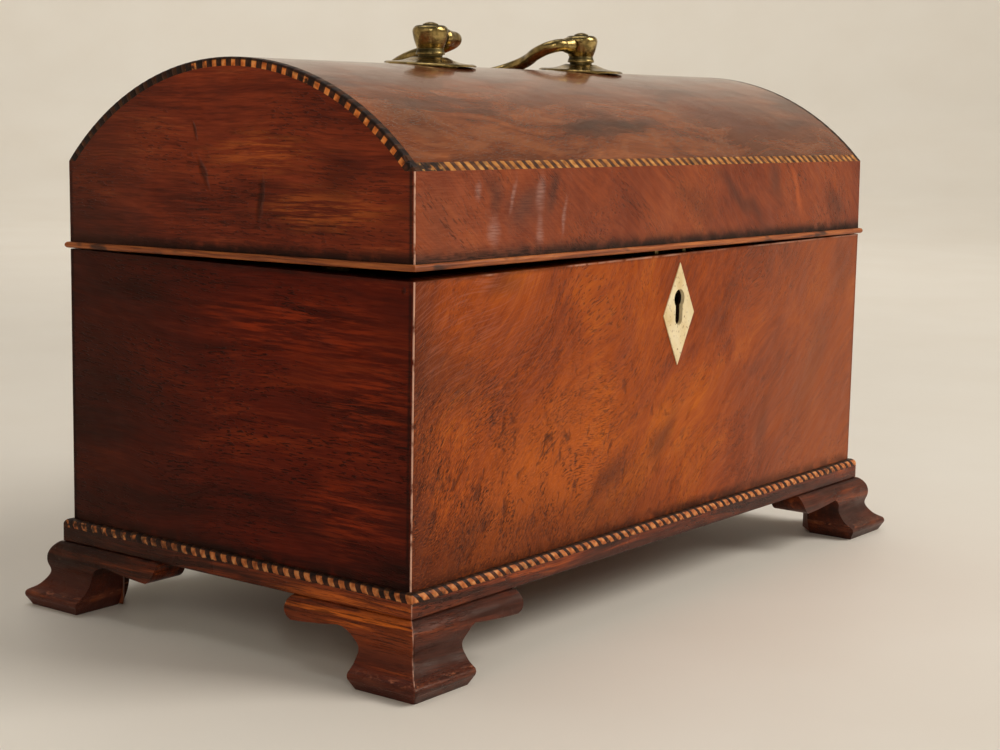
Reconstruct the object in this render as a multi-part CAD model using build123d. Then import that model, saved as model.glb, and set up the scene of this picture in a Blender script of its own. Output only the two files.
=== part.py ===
from build123d import *
from math import asin, cos, degrees, hypot, radians, sin, sqrt
import os

os.makedirs("parts", exist_ok=True)

# Antique tea caddy: a mahogany box with a domed lid, chequer stringing, mitred ogee
# bracket feet, a box lock behind a bone escutcheon and a brass swan-neck bail handle.
# Millimetres. X runs along the front, the front faces -Y, Z is up. The origin lies on
# the surface under the feet, below the middle of the case.

# Case
case_width = 250.0
case_depth = 133.0
case_height = 82.0
case_wall = 9.0
case_arris = 0.8
bottom_thickness = 7.0
divider_thickness = 5.0
centre_well_width = 80.0

# Plinth and its chequer string
plinth_height = 7.0
plinth_projection = 2.1
plinth_width = 17.0
string_size = 2.5
string_arris = 1.8
plinth_foot_arris = 0.5

# Ogee bracket feet: each corner is two brackets, mitred together
foot_height = 19.5
foot_front_wing = 42.5
foot_side_wing = 40.0
wing_depth = 6.0
wing_tip_radius = 2.4
wing_tip_bulge = 0.4
wing_hollow = 0.5
cusp_rise = 1.6
leg_hollow = 1.0
foot_front_root = 20.5
foot_side_root = 22.0
foot_front_neck = 15.6
foot_side_neck = 13.4
neck_height = 8.6
neck_hollow = 0.4
toe_setback = 2.2
bracket_thickness = 7.5
foot_arris = 0.8
glue_block_leg = 6.0
glue_block_gap = 0.5

# Ogee of the feet: distances outwards from the case's face, with their heights
ogee_top = 2.8
ogee_belly = 5.9
ogee_belly_height = 14.3
ogee_turn = 1.9
ogee_ankle = 5.1
ogee_ankle_height = 10.2
ogee_instep = 6.9
ogee_instep_height = 6.9
ogee_toe = 10.0
ogee_toe_height = 4.6
ogee_toe_fall = 0.55
toe_nose = 10.65
toe_nose_height = 3.6
toe_lip = 10.3
toe_lip_height = 2.4
toe_foot = 9.0

# Lid
lid_gap = 0.3
lid_side_height = 25.7
lid_wall = 7.0
dome_radius = 89.2
dome_thickness = 6.0
lid_rise = 2.4
string_corner = 0.7
back_shoulder_radius = 6.0
shoulder_string_width = 3.0
shoulder_string_depth = 2.0
bead_height = 1.8
bead_projection = 1.0
level_bead_gap = 0.06

# Brass swan-neck handle: the posts' heights are measured from the ridge
post_spacing = 81.2
handle_centre = 0.6
handle_forward = 2.3
plate_radius = 14.2
plate_rim = 0.7
plate_lip = 12.9
plate_lip_height = 1.5
plate_lip_radius = 1.6
plate_quirk = 12.3
plate_quirk_height = 1.3
plate_hollow = 8.0
plate_hollow_height = 1.55
plate_neck = 4.5
plate_rise = 2.7
plate_tilt = 3.0
plate_lift = 0.05
plate_seat_radius = 9.0
plate_seat_depth = 1.0
landing_radius = 5.2
landing_height = 2.3
shank_radius = 2.0
shank_clearance = 0.1
shank_end = 1.5
nut_radius = 4.5
nut_height = 2.5
post_neck_radius = 3.75
post_neck_height = 3.0
collar_radius = 4.5
collar_low = 3.2
collar_high = 3.6
waist_radius = 4.0
waist_height = 5.0
ball_base_radius = 4.15
ball_base_height = 5.2
ball_side_radius = 5.0
ball_side_height = 7.5
ball_radius = 5.55
ball_height = 10.0
ball_shoulder_radius = 5.1
ball_shoulder_height = 11.4
ball_top_radius = 3.4
ball_top_height = 12.0
button_radius = 2.4
button_edge = 0.4
button_height = 13.1
bail_axis_height = 8.6
bail_radius = 2.1
bail_end_radius = 2.8
bail_taper_length = 4.6
bail_collar_length = 1.2
bail_collar_edge = 0.3
bail_bend_radius = 4.6
neck_curve_radius = 13.0
neck_curve_angle = 35.0
grip_curve_radius = 14.0
spigot_radius = 1.5
spigot_clearance = 0.05
spigot_length = 3.0
bail_side_gap = 0.4
bail_rest_gap = 0.4

# Hinges
hinge_length = 34.0
hinge_spacing = 160.0
hinge_leaf = 1.2
hinge_leaf_width = 7.0
knuckle_radius = 2.5
knuckle_wall_gap = 0.2
knuckle_gap = 0.3
knuckle_count = 3
hinge_pin_radius = 1.1
hinge_pin_clearance = 0.05

# Box lock and its strike plate
lock_centre = 4.0
lock_width = 38.0
lock_height = 25.0
lock_depth = 7.0
lock_sheet = 1.0
lock_plate_width = 54.0
lock_plate_sheet = 1.2
face_plate_width = 60.0
face_plate_depth = 7.0
face_plate_sheet = 1.5
staple_spacing = 16.0
staple_sheet = 1.8
staple_width = 3.8
staple_drop = 10.2
staple_eye_width = 2.2
staple_eye_height = 3.4
staple_slot_gap = 0.6
bolt_travel = 3.6
bolt_thickness = 3.2
bolt_bar_height = 3.0
bolt_beak_length = 2.8
bolt_beak_height = 1.8
bolt_beak_thickness = 1.3
bolt_post_width = 1.7
bolt_tip_gap = 1.1
drill_pin_radius = 0.9
drill_pin_length = 2.4
bolt_top_gap = 0.6
talon_width = 3.2
talon_depth = 1.2

# Bone escutcheon and keyhole
escutcheon_width = 17.7
escutcheon_height = 32.0
escutcheon_centre = 63.2
escutcheon_thickness = 1.2
escutcheon_stand = 0.3
keyhole_radius = 2.95
keyhole_slot = 4.1
keyhole_length = 11.2
keyhole_top = 70.9
keyhole_slack = 0.3

# Lids of the two tea compartments
tea_lid_thickness = 5.0
tea_lid_below_rim = 8.0
tea_lid_gap = 0.4
tea_lid_seat_gap = 0.1
tea_ledge_width = 4.0
tea_ledge_height = 5.0
knob_radius = 5.2
knob_height = 8.5
knob_stem_radius = 2.2
knob_foot_radius = 3.9
knob_waist_radius = 2.9
knob_waist_height = 2.0
knob_belly_height = 5.9

# Levels and half sizes that follow from the values above
half_width = case_width / 2
half_depth = case_depth / 2
case_z = foot_height + plinth_height
rim_z = case_z + case_height
lid_z = rim_z + lid_gap
shoulder_z = lid_z + lid_side_height
dome_centre_z = shoulder_z - sqrt(dome_radius ** 2 - half_depth ** 2)
ridge_z = dome_centre_z + dome_radius
inner_half_width = half_width - case_wall
inner_half_depth = half_depth - case_wall
divider_x = (centre_well_width + divider_thickness) / 2
floor_z = case_z + bottom_thickness
tea_lid_top_z = rim_z - tea_lid_below_rim
tea_lid_z = tea_lid_top_z - tea_lid_thickness

# Outward direction of each side of the box
OUTWARD = {
    "front": Vector(0, -1, 0),
    "back": Vector(0, 1, 0),
    "left": Vector(-1, 0, 0),
    "right": Vector(1, 0, 0),
}
UP = Vector(0, 0, 1)
ALONG = Vector(1, 0, 0)
reach = 20.0


def save(shape, node):
    """Write one sub-part to its own file."""
    export_step(shape, f"parts/{node}.step")


def whole(shape):
    """Gather what a cut left into one shape."""
    return Compound(children=list(shape)) if isinstance(shape, (list, ShapeList)) else shape


def box_between(low, high):
    """A plain block between two corners."""
    size = [b - a for a, b in zip(low, high)]
    centre = [(a + b) / 2 for a, b in zip(low, high)]
    return Pos(*centre) * Box(*size)


def rod(start, direction, length, radius):
    """A round bar from a point, along a direction."""
    plane = Plane(origin=start, z_dir=direction)
    return extrude(plane * Circle(radius), amount=length)


def half_across(side):
    return half_depth if side in ("front", "back") else half_width


def half_along(side):
    return half_width if side in ("front", "back") else half_depth


def face_plane(side):
    """Elevation of one side: local X along the side, local Y up, outwards is +Z."""
    out = OUTWARD[side]
    return Plane(origin=out * half_across(side), x_dir=UP.cross(out), z_dir=out)


def section_plane(side):
    """Cross-section of one side: local X outwards from the case's face, local Y up."""
    out = OUTWARD[side]
    return Plane(origin=out * half_across(side), x_dir=out, z_dir=out.cross(UP))


def mitre_wedge(side):
    """All the space that belongs to one side of the box, between its corner mitres."""
    along, across = half_along(side), half_across(side)
    depth = min(along, across)
    outline = Polyline(
        (-along - reach, reach),
        (along + reach, reach),
        (along - depth, -depth),
        (depth - along, -depth),
        close=True,
    ) if across < along else Polyline(
        (-along - reach, reach),
        (along + reach, reach),
        (0, -along),
        close=True,
    )
    out = OUTWARD[side]
    plan = Plane(origin=out * across, x_dir=out.cross(UP), z_dir=UP)
    return extrude(plan * make_face(outline), amount=ridge_z)


def mitred_run(side, section):
    """A strip of one cross-section along a side, cut to 45 degrees at both corners."""
    strip = extrude(section_plane(side) * section, amount=half_along(side) + reach, both=True)
    return strip & mitre_wedge(side)


def section_box(inner, outer, low, high):
    """A rectangular cross-section: distances outwards from the case's face, and heights."""
    return Pos((inner + outer) / 2, (low + high) / 2) * Rectangle(outer - inner, high - low)


# The lid is in winding: it is seated by a small turn about the line from its back left
# corner to its front right corner, so that its front left corner stands proud.

diagonal = hypot(case_width, case_depth)
corner_distance = case_width * case_depth / diagonal
lid_turn = degrees(asin(lid_rise / corner_distance))
lid_axis = Axis((half_width, -half_depth, lid_z), (-case_width, case_depth, 0))


def seated(shape):
    """Turn a piece of the lid from its square drawing position to its seat on the case."""
    return whole(shape).rotate(lid_axis, lid_turn)


def lift_at(x, y):
    """How far the lid's lower edge stands above its level at a point of the plan."""
    return lid_rise * ((half_width - x) / case_width + (half_depth - y) / case_depth - 1)


def planed(shape):
    """Plane a seated piece off level where it would otherwise reach the case."""
    below = box_between((-case_width, -case_depth, 0), (case_width, case_depth, lid_z))
    return shape - below


# Keyhole, escutcheon and lock

lock_low_z = rim_z - lock_height
lock_inner_y = -half_depth + case_wall
lock_outer_y = lock_inner_y - lock_depth
keyhole_z = case_z + keyhole_top - keyhole_radius


def lock_block(width, low_yz, high_yz):
    """A block centred on the lock, between two pairs of depth and height."""
    return box_between((lock_centre - width / 2, *low_yz), (lock_centre + width / 2, *high_yz))


def keyhole(depth_from, depth_to, slack=0.0):
    """The keyhole's outline as a solid between two depths behind the front face."""
    bottom_z = case_z + keyhole_top - keyhole_length
    slot_radius = keyhole_slot / 2
    slot_low = bottom_z + slot_radius
    eye = Pos(lock_centre, keyhole_z) * Circle(keyhole_radius + slack)
    slot = Rectangle(keyhole_slot + 2 * slack, keyhole_z - slot_low)
    slot = Pos(lock_centre, (keyhole_z + slot_low) / 2) * slot
    foot = Pos(lock_centre, slot_low) * Circle(slot_radius + slack)
    outline = eye + slot + foot
    plane = face_plane("front").offset(-depth_to)
    return extrude(plane * outline, amount=depth_to - depth_from)


def escutcheon_lozenge(depth):
    """The lozenge outline, from its stand proud of the face to a depth behind it."""
    centre_z = case_z + escutcheon_centre
    lozenge = Polyline(
        (lock_centre, centre_z + escutcheon_height / 2),
        (lock_centre + escutcheon_width / 2, centre_z),
        (lock_centre, centre_z - escutcheon_height / 2),
        (lock_centre - escutcheon_width / 2, centre_z),
        close=True,
    )
    plane = face_plane("front").offset(-depth)
    return extrude(plane * make_face(lozenge), amount=depth + escutcheon_stand)


escutcheon_let_in = escutcheon_thickness - escutcheon_stand


def escutcheon():
    return escutcheon_lozenge(escutcheon_let_in) - keyhole(-1, escutcheon_let_in + 1)


lock_plate_y = lock_inner_y - lock_plate_sheet
lock_top_z = rim_z - face_plate_sheet
chamber_y = (lock_outer_y + lock_sheet + lock_plate_y) / 2


def lock_outer():
    """The space that the lock fills in the front board, below its face plate."""
    case = lock_block(lock_width, (lock_outer_y, lock_low_z), (lock_inner_y, lock_top_z))
    return case + lock_block(lock_plate_width, (lock_plate_y, lock_low_z), (lock_inner_y, lock_top_z))


def lock_case():
    """A sheet brass box on a back plate, with the pin that a hollow key turns on."""
    chamber_low = (lock_outer_y + lock_sheet, lock_low_z + lock_sheet)
    chamber = lock_block(lock_width - 2 * lock_sheet, chamber_low, (lock_plate_y, lock_top_z))
    shell = lock_outer() - chamber - keyhole(0, case_wall - lock_depth + 2 * lock_sheet)
    pin_start = (lock_centre, lock_plate_y, keyhole_z)
    return shell + rod(pin_start, Vector(0, -1, 0), drill_pin_length, drill_pin_radius)


def face_plate_space():
    return lock_block(face_plate_width, (lock_inner_y - face_plate_depth, lock_top_z), (lock_inner_y, rim_z))


def staple_centres():
    return (lock_centre - staple_spacing / 2, lock_centre + staple_spacing / 2)


def lock_face_plate():
    """The plate on the rim, with two slots for the staples."""
    plate = face_plate_space()
    slot_x = staple_sheet / 2 + staple_slot_gap
    slot_y = staple_width / 2 + staple_slot_gap
    for x in staple_centres():
        low = (x - slot_x, chamber_y - slot_y, rim_z - face_plate_sheet - 1)
        plate = plate - box_between(low, (x + slot_x, chamber_y + slot_y, rim_z + 1))
    return plate


strike_z = lid_z + lift_at(lock_centre, -half_depth)
staple_low_z = strike_z - staple_drop
staple_eye_z = staple_low_z + staple_sheet / 2 + staple_eye_height / 2


def lock_strike_plate():
    """The plate under the lid's front rail, with two eyed staples that hang from it."""
    inner = (-half_depth + lid_wall, strike_z + face_plate_sheet)
    plate = lock_block(face_plate_width, (lock_inner_y - face_plate_depth, strike_z), inner)
    half_width_y = staple_width / 2
    half_eye_y = staple_eye_width / 2
    for x in staple_centres():
        low = (x - staple_sheet / 2, chamber_y - half_width_y, staple_low_z)
        high = (x + staple_sheet / 2, chamber_y + half_width_y, strike_z)
        eye_low = (x - staple_sheet, chamber_y - half_eye_y, staple_eye_z - staple_eye_height / 2)
        eye_high = (x + staple_sheet, chamber_y + half_eye_y, staple_eye_z + staple_eye_height / 2)
        plate = plate + (box_between(low, high) - box_between(eye_low, eye_high))
    return plate


def lock_bolt():
    """A sliding bar whose two beaks pass through the staples' eyes when locked."""
    bar_top = staple_low_z - bolt_top_gap
    beak_base = staple_eye_z - bolt_beak_height / 2
    beak_top = staple_eye_z + bolt_beak_height / 2
    half_thick = bolt_thickness / 2
    half_beak = bolt_beak_thickness / 2
    first = staple_centres()[0] - staple_sheet / 2 - bolt_tip_gap - bolt_beak_length - bolt_post_width
    last = staple_centres()[1] + staple_sheet
    low = (first, chamber_y - half_thick, bar_top - bolt_bar_height)
    bolt = box_between(low, (last, chamber_y + half_thick, bar_top))
    talon = Pos((first + last) / 2, chamber_y, bar_top - bolt_bar_height)
    for x in staple_centres():
        tip = x - staple_sheet / 2 - bolt_tip_gap
        root = tip - bolt_beak_length
        post_low = (root - bolt_post_width, chamber_y - half_thick, bar_top)
        bolt = bolt + box_between(post_low, (root, chamber_y + half_thick, beak_top))
        beak_low = (root, chamber_y - half_beak, beak_base)
        bolt = bolt + box_between(beak_low, (tip, chamber_y + half_beak, beak_top))
    return bolt - talon * Box(talon_width, 2 * bolt_thickness, 2 * talon_depth)


# Case

def hinge_centres():
    return (-hinge_spacing / 2, hinge_spacing / 2)


def case_envelope():
    """The outside of the case with its upright corners eased."""
    block = box_between((-half_width, -half_depth, case_z), (half_width, half_depth, rim_z))
    return fillet(block.edges().filter_by(Axis.Z), case_arris)


def case_board(side):
    """One mitred wall of the case."""
    board = mitred_run(side, section_box(-case_wall, 0, case_z, rim_z))
    return board & case_envelope()


def front_board():
    board = case_board("front")
    board = board - lock_outer() - face_plate_space()
    board = board - escutcheon_lozenge(escutcheon_let_in)
    return board - keyhole(-1, case_wall - lock_depth + lock_sheet, keyhole_slack)


def leaf_space(centre, low, high):
    """The recess for one hinge leaf, between two heights."""
    near = (centre - hinge_length / 2, half_depth - hinge_leaf_width, low)
    return box_between(near, (centre + hinge_length / 2, half_depth + 1, high))


def back_board():
    board = case_board("back")
    for centre in hinge_centres():
        board = board - leaf_space(centre, rim_z - hinge_leaf, rim_z + 1)
    return board


def bottom_board():
    low = (-inner_half_width, -inner_half_depth, case_z)
    return box_between(low, (inner_half_width, inner_half_depth, floor_z))


def divider(sign):
    """A partition between a tea compartment and the middle well."""
    x = sign * divider_x
    half = divider_thickness / 2
    low = (x - half, -inner_half_depth, floor_z)
    return box_between(low, (x + half, inner_half_depth, rim_z - tea_lid_below_rim))


def tea_lid_ledges():
    """Four strips that the two inner lids rest on."""
    ledges = []
    top = tea_lid_z - tea_lid_seat_gap
    inner = divider_x + divider_thickness / 2
    for sx in (-1, 1):
        for sy in (-1, 1):
            xs = sorted((sx * inner, sx * inner_half_width))
            ys = sorted((sy * (inner_half_depth - tea_ledge_width), sy * inner_half_depth))
            ledges.append(box_between((xs[0], ys[0], top - tea_ledge_height), (xs[1], ys[1], top)))
    return Compound(children=ledges)


# Plinth

def plinth_profile():
    """The plinth's cross-section, with its two outer arrises eased."""
    block = section_box(-plinth_width + plinth_projection, plinth_projection, foot_height, case_z)
    block = fillet(block.vertices().sort_by(lambda v: v.X + v.Y)[-1], string_arris)
    return fillet(block.vertices().sort_by(lambda v: v.X - v.Y)[-1], plinth_foot_arris)


def string_profile():
    """The chequer string let into the plinth's outer top arris."""
    square = section_box(plinth_projection - string_size, plinth_projection, case_z - string_size, case_z)
    return square & plinth_profile()


def plinth(side):
    return mitred_run(side, plinth_profile() - string_profile())


def plinth_string(side):
    return mitred_run(side, string_profile())


# Ogee bracket feet

def ogee_profile():
    """Cross-section of a bracket: belly above, hollow below, toe flared and tucked under."""
    swell = ogee_belly - ogee_top
    arc_radius = (swell ** 2 + (foot_height - ogee_belly_height) ** 2) / (2 * swell)
    centre_x = ogee_belly - arc_radius
    turn = (centre_x + sqrt(arc_radius ** 2 - ogee_turn ** 2), ogee_belly_height - ogee_turn)
    belly = ThreePointArc((ogee_top, foot_height), (ogee_belly, ogee_belly_height), turn)
    ankle = (ogee_ankle, ogee_ankle_height)
    instep = (ogee_instep, ogee_instep_height)
    hollow = Spline(
        [turn, ankle, instep, (ogee_toe, ogee_toe_height)],
        tangents=[(-ogee_turn, centre_x - turn[0]), (1, -ogee_toe_fall)],
    )
    nose = ThreePointArc((ogee_toe, ogee_toe_height), (toe_nose, toe_nose_height), (toe_lip, toe_lip_height))
    rest = Polyline(
        (toe_lip, toe_lip_height),
        (toe_foot, 0),
        (-bracket_thickness, 0),
        (-bracket_thickness, foot_height),
        (ogee_top, foot_height),
    )
    return make_face([belly, hollow, nose, rest])


def scroll_outline(wing, root, neck):
    """Elevation of a bracket from the corner outwards: a wing with a cusp, then the leg."""
    tip_low = foot_height - wing_depth
    cusp = (root, tip_low + cusp_rise)
    tip_end = (wing - wing_tip_radius, tip_low)
    tip = ThreePointArc((wing, foot_height), (wing + wing_tip_bulge, (foot_height + tip_low) / 2), tip_end)
    under = ThreePointArc(tip_end, ((wing + root) / 2, tip_low + wing_hollow), cusp)
    leg = ThreePointArc(cusp, (neck + leg_hollow, (cusp[1] + neck_height) / 2), (neck, neck_height))
    toe = ThreePointArc((neck, neck_height), (neck - neck_hollow, neck_height / 2), (neck - toe_setback, 0))
    back = Polyline((neck - toe_setback, 0), (-reach, 0), (-reach, foot_height), (wing, foot_height))
    return make_face([tip, under, leg, toe, back])


def on_left_front_arris(edge):
    """Whether an edge lies on the outer mitre line of the front left corner."""
    ends = [edge.position_at(0), edge.position_at(1)]
    on_line = all(abs(point.X + half_width - point.Y - half_depth) < 0.001 for point in ends)
    return on_line and ends[0].X < -half_width


def ogee_corner(side, corner):
    """The ogee run round one corner of the case, with the arris between the two sides eased."""
    solid = mitred_run("front", ogee_profile()) + mitred_run("left", ogee_profile())
    solid = fillet([edge for edge in solid.edges() if on_left_front_arris(edge)], foot_arris)
    if "right" in (side, corner):
        solid = mirror(solid, Plane.YZ)
    return mirror(solid, Plane.XZ) if "back" in (side, corner) else solid


def foot_bracket(side, corner):
    """One bracket of a foot: the scroll-cut ogee, mitred at the corner it turns."""
    front = side in ("front", "back")
    wing = foot_front_wing if front else foot_side_wing
    root = foot_front_root if front else foot_side_root
    neck = foot_front_neck if front else foot_side_neck
    outline = scroll_outline(wing, root, neck)
    # the corner lies at +X or -X of this side's elevation
    along = UP.cross(OUTWARD[side])
    sign = 1 if along.dot(OUTWARD[corner]) > 0 else -1
    placed = Pos(sign * half_along(side), 0) * (mirror(outline, Plane.YZ) if sign > 0 else outline)
    plane = face_plane(side).offset(-bracket_thickness)
    cut_out = extrude(plane * placed, amount=bracket_thickness + reach)
    return (ogee_corner(side, corner) & mitre_wedge(side)) & cut_out


def foot_glue_blocks():
    """An upright three-cornered block behind each foot, glued into the corner."""
    x = half_width - bracket_thickness
    y = half_depth - bracket_thickness
    corner = make_face(Polyline((x, y), (x - glue_block_leg, y), (x, y - glue_block_leg), close=True))
    block = extrude(Pos(0, 0, glue_block_gap) * corner, amount=foot_height - glue_block_gap)
    pair = [block, mirror(block, Plane.YZ)]
    return Compound(children=pair + [mirror(one, Plane.XZ) for one in pair])


# Lid, drawn square and then seated

def end_profile(radius):
    """Outline of the lid's end: upright sides under an arc of the dome's centre."""
    spring_y = sqrt(radius ** 2 - (shoulder_z - dome_centre_z) ** 2)
    arc = ThreePointArc((-spring_y, shoulder_z), (0, dome_centre_z + radius), (spring_y, shoulder_z))
    rest = Polyline(
        (spring_y, shoulder_z),
        (half_depth, shoulder_z),
        (half_depth, lid_z),
        (-half_depth, lid_z),
        (-half_depth, shoulder_z),
        (-spring_y, shoulder_z),
    )
    return make_face([arc, rest])


def lid_envelope():
    """The whole outside of the lid: its back shoulder rounded, its upright corners eased."""
    arc = ThreePointArc((-half_depth, shoulder_z), (0, ridge_z), (half_depth, shoulder_z))
    rest = Polyline(
        (half_depth, shoulder_z),
        (half_depth, lid_z),
        (-half_depth, lid_z),
        (-half_depth, shoulder_z),
    )
    solid = extrude(Plane.YZ * make_face([arc, rest]), amount=half_width, both=True)
    back_edges = solid.edges().filter_by(Axis.X).filter_by_position(Axis.Y, half_depth - 1, half_depth + 1)
    solid = fillet(back_edges.sort_by(Axis.Z)[-1], back_shoulder_radius)
    block = box_between((-half_width, -half_depth, lid_z - 1), (half_width, half_depth, ridge_z + 1))
    return solid & fillet(block.edges().filter_by(Axis.Z), case_arris)


def lid_rail(side):
    rail = mitred_run(side, section_box(-lid_wall, 0, lid_z, shoulder_z))
    return rail & lid_envelope()


def lid_front_rail():
    recess_low = (lock_inner_y - face_plate_depth, 0)
    recess = lock_block(face_plate_width, recess_low, (0, strike_z + face_plate_sheet))
    return seated(lid_rail("front")) - recess


def lid_back_rail():
    rail = planed(seated(lid_rail("back")))
    for centre in hinge_centres():
        rail = rail - leaf_space(centre, 0, lid_z + hinge_leaf)
    return rail


def lid_end(side):
    """An end board: mitred to the rails below, arched to the underside of the dome above."""
    arched = extrude(Plane.YZ * end_profile(dome_radius - dome_thickness), amount=half_width, both=True)
    wall = mitred_run(side, section_box(-lid_wall, 0, lid_z, ridge_z))
    return planed(seated((wall & arched) & lid_envelope()))


def lid_top_space():
    """The space above the lid's boards."""
    return box_between((-half_width, -half_depth, shoulder_z), (half_width, half_depth, ridge_z + 1))


def dome_tube(outer, inner):
    """Part of a round tube about the dome's centre line, above the shoulders."""
    tube = extrude(Plane.YZ * (Circle(outer) - Circle(inner)), amount=half_width, both=True)
    return ((Pos(0, 0, dome_centre_z) * tube) & lid_top_space()) & lid_envelope()


def end_string_space(side):
    """The rebate for the string round one end of the dome."""
    ring = Plane.YZ * (Circle(dome_radius + 1) - Circle(dome_radius - string_size))
    low = -half_width if side == "left" else half_width - string_size
    return Pos(low, 0, dome_centre_z) * extrude(ring, amount=string_size)


def end_string(side):
    """The string round one end of the dome, its outer corner eased."""
    middle = (string_size / 2 - half_width, dome_radius - string_size / 2)
    section = Pos(*middle) * Rectangle(string_size, string_size)
    section = fillet(section.vertices().sort_by(lambda v: v.Y - v.X)[-1], string_corner)
    ring = Pos(0, 0, dome_centre_z) * revolve(Plane.XZ * section, Axis.X)
    ring = mirror(ring, Plane.YZ) if side == "right" else ring
    return (ring & lid_top_space()) & lid_envelope()


def shoulder_string_space(side):
    """A sector at the foot of the dome, as wide up the slope as the string."""
    foot_angle = degrees(asin(half_depth / dome_radius))
    string_angle = degrees(shoulder_string_width / dome_radius)
    sign = 1 if side == "front" else -1
    low = (-half_width, -case_depth, dome_centre_z)
    blade = box_between(low, (half_width, 0, dome_centre_z + case_depth))
    blade = blade.rotate(Axis((0, 0, dome_centre_z), ALONG), foot_angle - string_angle)
    return blade if sign > 0 else mirror(blade, Plane.XZ)


def lid_string(side):
    if side in ("left", "right"):
        return end_string(side)
    string = dome_tube(dome_radius, dome_radius - shoulder_string_depth) & shoulder_string_space(side)
    return string - end_string_space("left") - end_string_space("right")


def lid_dome():
    dome = dome_tube(dome_radius, dome_radius - dome_thickness)
    dome = dome - end_string_space("left") - end_string_space("right")
    dome = dome - lid_string("front") - lid_string("back")
    for x in post_centres():
        dome = dome - rod((x, handle_y, dome_centre_z), UP, case_depth, shank_radius + shank_clearance)
    return dome


def cap_arc(radius, low, height):
    """A round crown on a turned piece: an arc about the axis, from its rim to its top."""
    ball = (radius ** 2 + height ** 2) / (2 * height)
    centre = low + height - ball
    half_angle = asin(radius / ball) / 2
    middle = (ball * sin(half_angle), centre + ball * cos(half_angle))
    return ThreePointArc((radius, low), middle, (0, low + height))


def bead_profile(low):
    """A half-round bead laid on the lid's lower edge."""
    arc = ThreePointArc((0, low), (bead_projection, low + bead_height / 2), (0, low + bead_height))
    return make_face([arc, Line((0, low + bead_height), (0, low))])


def lid_bead(side):
    """The front and left beads follow the lid's lift; the other two run level."""
    bead = mitred_run(side, bead_profile(lid_z))
    if side in ("front", "left"):
        return seated(bead)
    bead = bead.moved(Pos(OUTWARD[side] * level_bead_gap))
    if side == "back":
        for centre in hinge_centres():
            half = hinge_length / 2 + knuckle_gap
            low = (centre - half, half_depth - 1, 0)
            bead = bead - box_between(low, (centre + half, half_depth + reach, ridge_z))
    return bead


# Hinges

knuckle_y = half_depth + knuckle_radius + knuckle_wall_gap
knuckle_z = rim_z + lid_gap / 2


def hinge_leaf_plate(centre, low, high, first):
    """A leaf let into its board, with every other knuckle rolled from it."""
    leaf = box_between(
        (centre - hinge_length / 2, half_depth - hinge_leaf_width, low),
        (centre + hinge_length / 2, knuckle_y, high),
    )
    pitch = hinge_length / knuckle_count
    start = centre - hinge_length / 2
    for index in range(knuckle_count):
        if index % 2 == first:
            knuckle_start = (start + index * pitch, knuckle_y, knuckle_z)
            leaf = leaf + rod(knuckle_start, ALONG, pitch, knuckle_radius)
    for index in range(knuckle_count):
        if index % 2 != first:
            slot_start = (start + index * pitch - knuckle_gap, knuckle_y, knuckle_z)
            leaf = leaf - rod(slot_start, ALONG, pitch + 2 * knuckle_gap, knuckle_radius + knuckle_gap)
    bore_radius = hinge_pin_radius + (hinge_pin_clearance if first else 0)
    return leaf - rod((start - 1, knuckle_y, knuckle_z), ALONG, hinge_length + 2, bore_radius)


def case_leaf(centre):
    return hinge_leaf_plate(centre, rim_z - hinge_leaf, rim_z, 0)


def lid_leaf(centre):
    return hinge_leaf_plate(centre, lid_z, lid_z + hinge_leaf, 1)


def hinge_pins():
    pins = []
    for centre in hinge_centres():
        start = (centre - hinge_length / 2, knuckle_y, knuckle_z)
        pins.append(rod(start, ALONG, hinge_length, hinge_pin_radius))
    return Compound(children=pins)


# Handle, drawn upright on the ridge and then seated with the lid

handle_y = -handle_forward
bail_axis_z = ridge_z + bail_axis_height


def post_centres():
    return (handle_centre - post_spacing / 2, handle_centre + post_spacing / 2)


def handle_plate(x):
    """A moulded round plate that sweeps up to the neck of the post, tilted to the front."""
    lip_arc = RadiusArc((plate_radius, plate_rim), (plate_lip, plate_lip_height), -plate_lip_radius)
    quirk = Line((plate_lip, plate_lip_height), (plate_quirk, plate_quirk_height))
    sweep = ThreePointArc(
        (plate_quirk, plate_quirk_height),
        (plate_hollow, plate_hollow_height),
        (plate_neck, plate_rise),
    )
    middle = Polyline((plate_neck, plate_rise), (0, plate_rise), (0, 0))
    base = Polyline((0, 0), (plate_radius, 0), (plate_radius, plate_rim))
    plate = revolve(Plane.XZ * make_face([lip_arc, quirk, sweep, middle, base]), Axis.Z)
    plate = Pos(x, handle_y, ridge_z + plate_lift) * Rot(plate_tilt, 0, 0) * plate
    seat = rod((x, handle_y, ridge_z - plate_seat_depth), UP, plate_seat_depth + plate_rim, plate_seat_radius)
    dome = extrude(Plane.YZ * Circle(dome_radius), amount=case_width, both=True)
    plate = plate + (seat - Pos(0, 0, dome_centre_z) * dome)
    plate = plate - rod((x, handle_y, ridge_z + landing_height), UP, plate_rise, landing_radius)
    return plate - rod((x, handle_y, ridge_z - reach), UP, 2 * reach, shank_radius + shank_clearance)


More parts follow.
